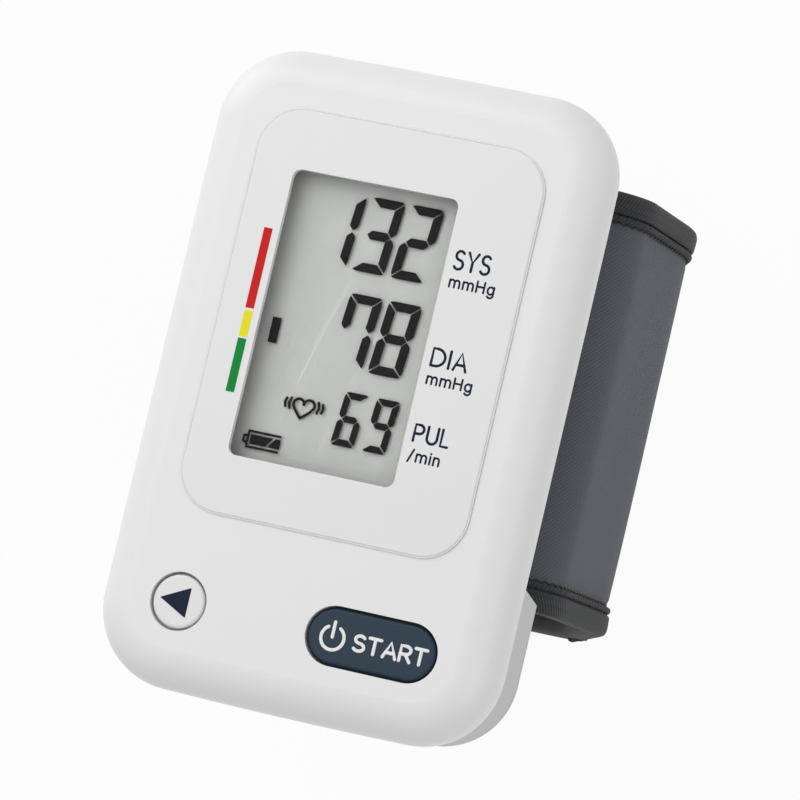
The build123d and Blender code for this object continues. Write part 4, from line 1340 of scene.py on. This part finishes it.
def wordStrokes(word, left, right, low, high, spacing):
    # the word's strokes fitted between its left and right ends and its baseline and cap height
    natural = sum(signs[letter][0] for letter in word) + spacing * (len(word) - 1)
    scaleX = (right - left) / natural
    scaleY = high - low
    strokes = []
    cursor = 0.0
    for letter in word:
        width, lines = signs[letter]
        for line in lines:
            strokes.append([(left + (cursor + x) * scaleX, low + y * scaleY) for x, y in line])
        cursor += width + spacing
    return strokes


nameLook = {"radius": 0.19, "spacing": 0.26}
unitLook = {"radius": 0.145, "spacing": 0.34}
labels = [
    {"word": "SYS", "span": (10.35, 15.25), "lines": (10.5, 12.95), **nameLook},
    {"word": "mmHg", "span": (10.35, 16.5), "lines": (8.05, 9.45), **unitLook},
    {"word": "DIA", "span": (10.35, 15.2), "lines": (-2.6, -0.3), **nameLook},
    {"word": "mmHg", "span": (10.35, 16.5), "lines": (-5.05, -3.65), **unitLook},
    {"word": "PUL", "span": (10.35, 15.1), "lines": (-12.8, -10.6), **nameLook},
    {"word": "/min", "span": (10.25, 14.5), "lines": (-15.45, -14.0), **unitLook},
]
for number, label in enumerate(labels, 1):
    strokes = wordStrokes(label["word"], *label["span"], *label["lines"], label["spacing"])
    addStrokes(f"panelLabel{number}", strokes, label["radius"], panelTop, "inkNavy")

# Heart with two pulse marks on each side, and the battery's nub
heart = [
    [(-5.42, -10.98), *arc(-6.12, -11.02, 0.74, 0.74, 30, 200, 10), (-6.55, -11.75), (-5.55, -12.85)],
    [(-5.42, -10.98), *arc(-4.66, -10.98, 0.76, 0.74, 150, -22, 10), (-4.35, -11.80), (-5.55, -12.85)],
    [(-7.28, -10.35), (-7.48, -11.05), (-7.30, -11.75)],
    [(-7.92, -10.50), (-8.08, -11.05), (-7.94, -11.60)],
    [(-3.42, -10.35), (-3.24, -11.05), (-3.44, -11.75)],
    [(-2.78, -10.50), (-2.64, -11.05), (-2.80, -11.60)],
    [(-12.30, -16.45), (-12.58, -16.55), (-12.58, -17.25), (-12.30, -17.35)],
]
addStrokes("displayHeart", heart, nameLook["radius"], displayLevel, "inkBlack", shift=marks["signShift"])

# START lettering and the power sign
startLook = {"span": (8.72, 18.75), "lines": (-41.28, -39.27), "spacing": 0.22, "radius": 0.235}
startStrokes = wordStrokes("START", *startLook["span"], *startLook["lines"], startLook["spacing"])
startStrokes += [arc(5.67, -40.3, 1.6, 1.6, 122, 418, 30), [(5.62, -38.2), (5.62, -40.2)]]
startLevel = buttonTop + marks["aboveButton"]
addStrokes("startLettering", startStrokes, startLook["radius"], startLevel, "inkWhite", "start_button")

# Arrow on the memory button
arrowFace = ([(-18.95, -40.0), (-14.9, -37.95), (-14.9, -42.05)], (0, 1, 2), 0.15)
addPlate("memoryArrow", [arrowFace], buttonTop, "inkNavy", "memory_button")

# Colour scale beside the display
rangeSides = {"left": -16.55, "right": -15.35}
rangeSteps = {
    "rangeHigh": (11.0, 0.0, "rangeRed"),
    "rangeMiddle": (-0.35, -3.9, "rangeYellow"),
    "rangeLow": (-4.15, -11.45, "rangeGreen"),
}
for name, (high, low, finish) in rangeSteps.items():
    bar = rectangle(rangeSides["left"], high, rangeSides["right"], low)
    addPlate(name, [(bar,)], panelTop, finish)

# Soft bead in the groove round the display panel
seal = {"radius": 0.12, "corner": 6.0, "outset": 0.1, "sink": 0.22}


def addSeal(settings):
    halfX = (panelHigh.x - panelLow.x) / 2 / mm + settings["outset"]
    halfY = (panelHigh.y - panelLow.y) / 2 / mm + settings["outset"]
    corner = settings["corner"] + settings["outset"]
    line = []
    for number, (signX, signY) in enumerate(((1, 1), (-1, 1), (-1, -1), (1, -1))):
        centre = (signX * (halfX - corner), signY * (halfY - corner))
        line += arc(*centre, corner, corner, 90 * number, 90 * number + 90)
    form = strokeForm("panelSeal", [line], settings["radius"], closed=True)
    scaleForm(form, (mm, mm, mm))
    middle = ((panelHigh.x + panelLow.x) / 2, panelY, panelTop - settings["sink"] * mm)
    moveForm(form, middle)
    faceOut(form)
    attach(finishPiece("panelSeal", form, "panelWhite"), "monitor")


addSeal(seal)
print("marks made")
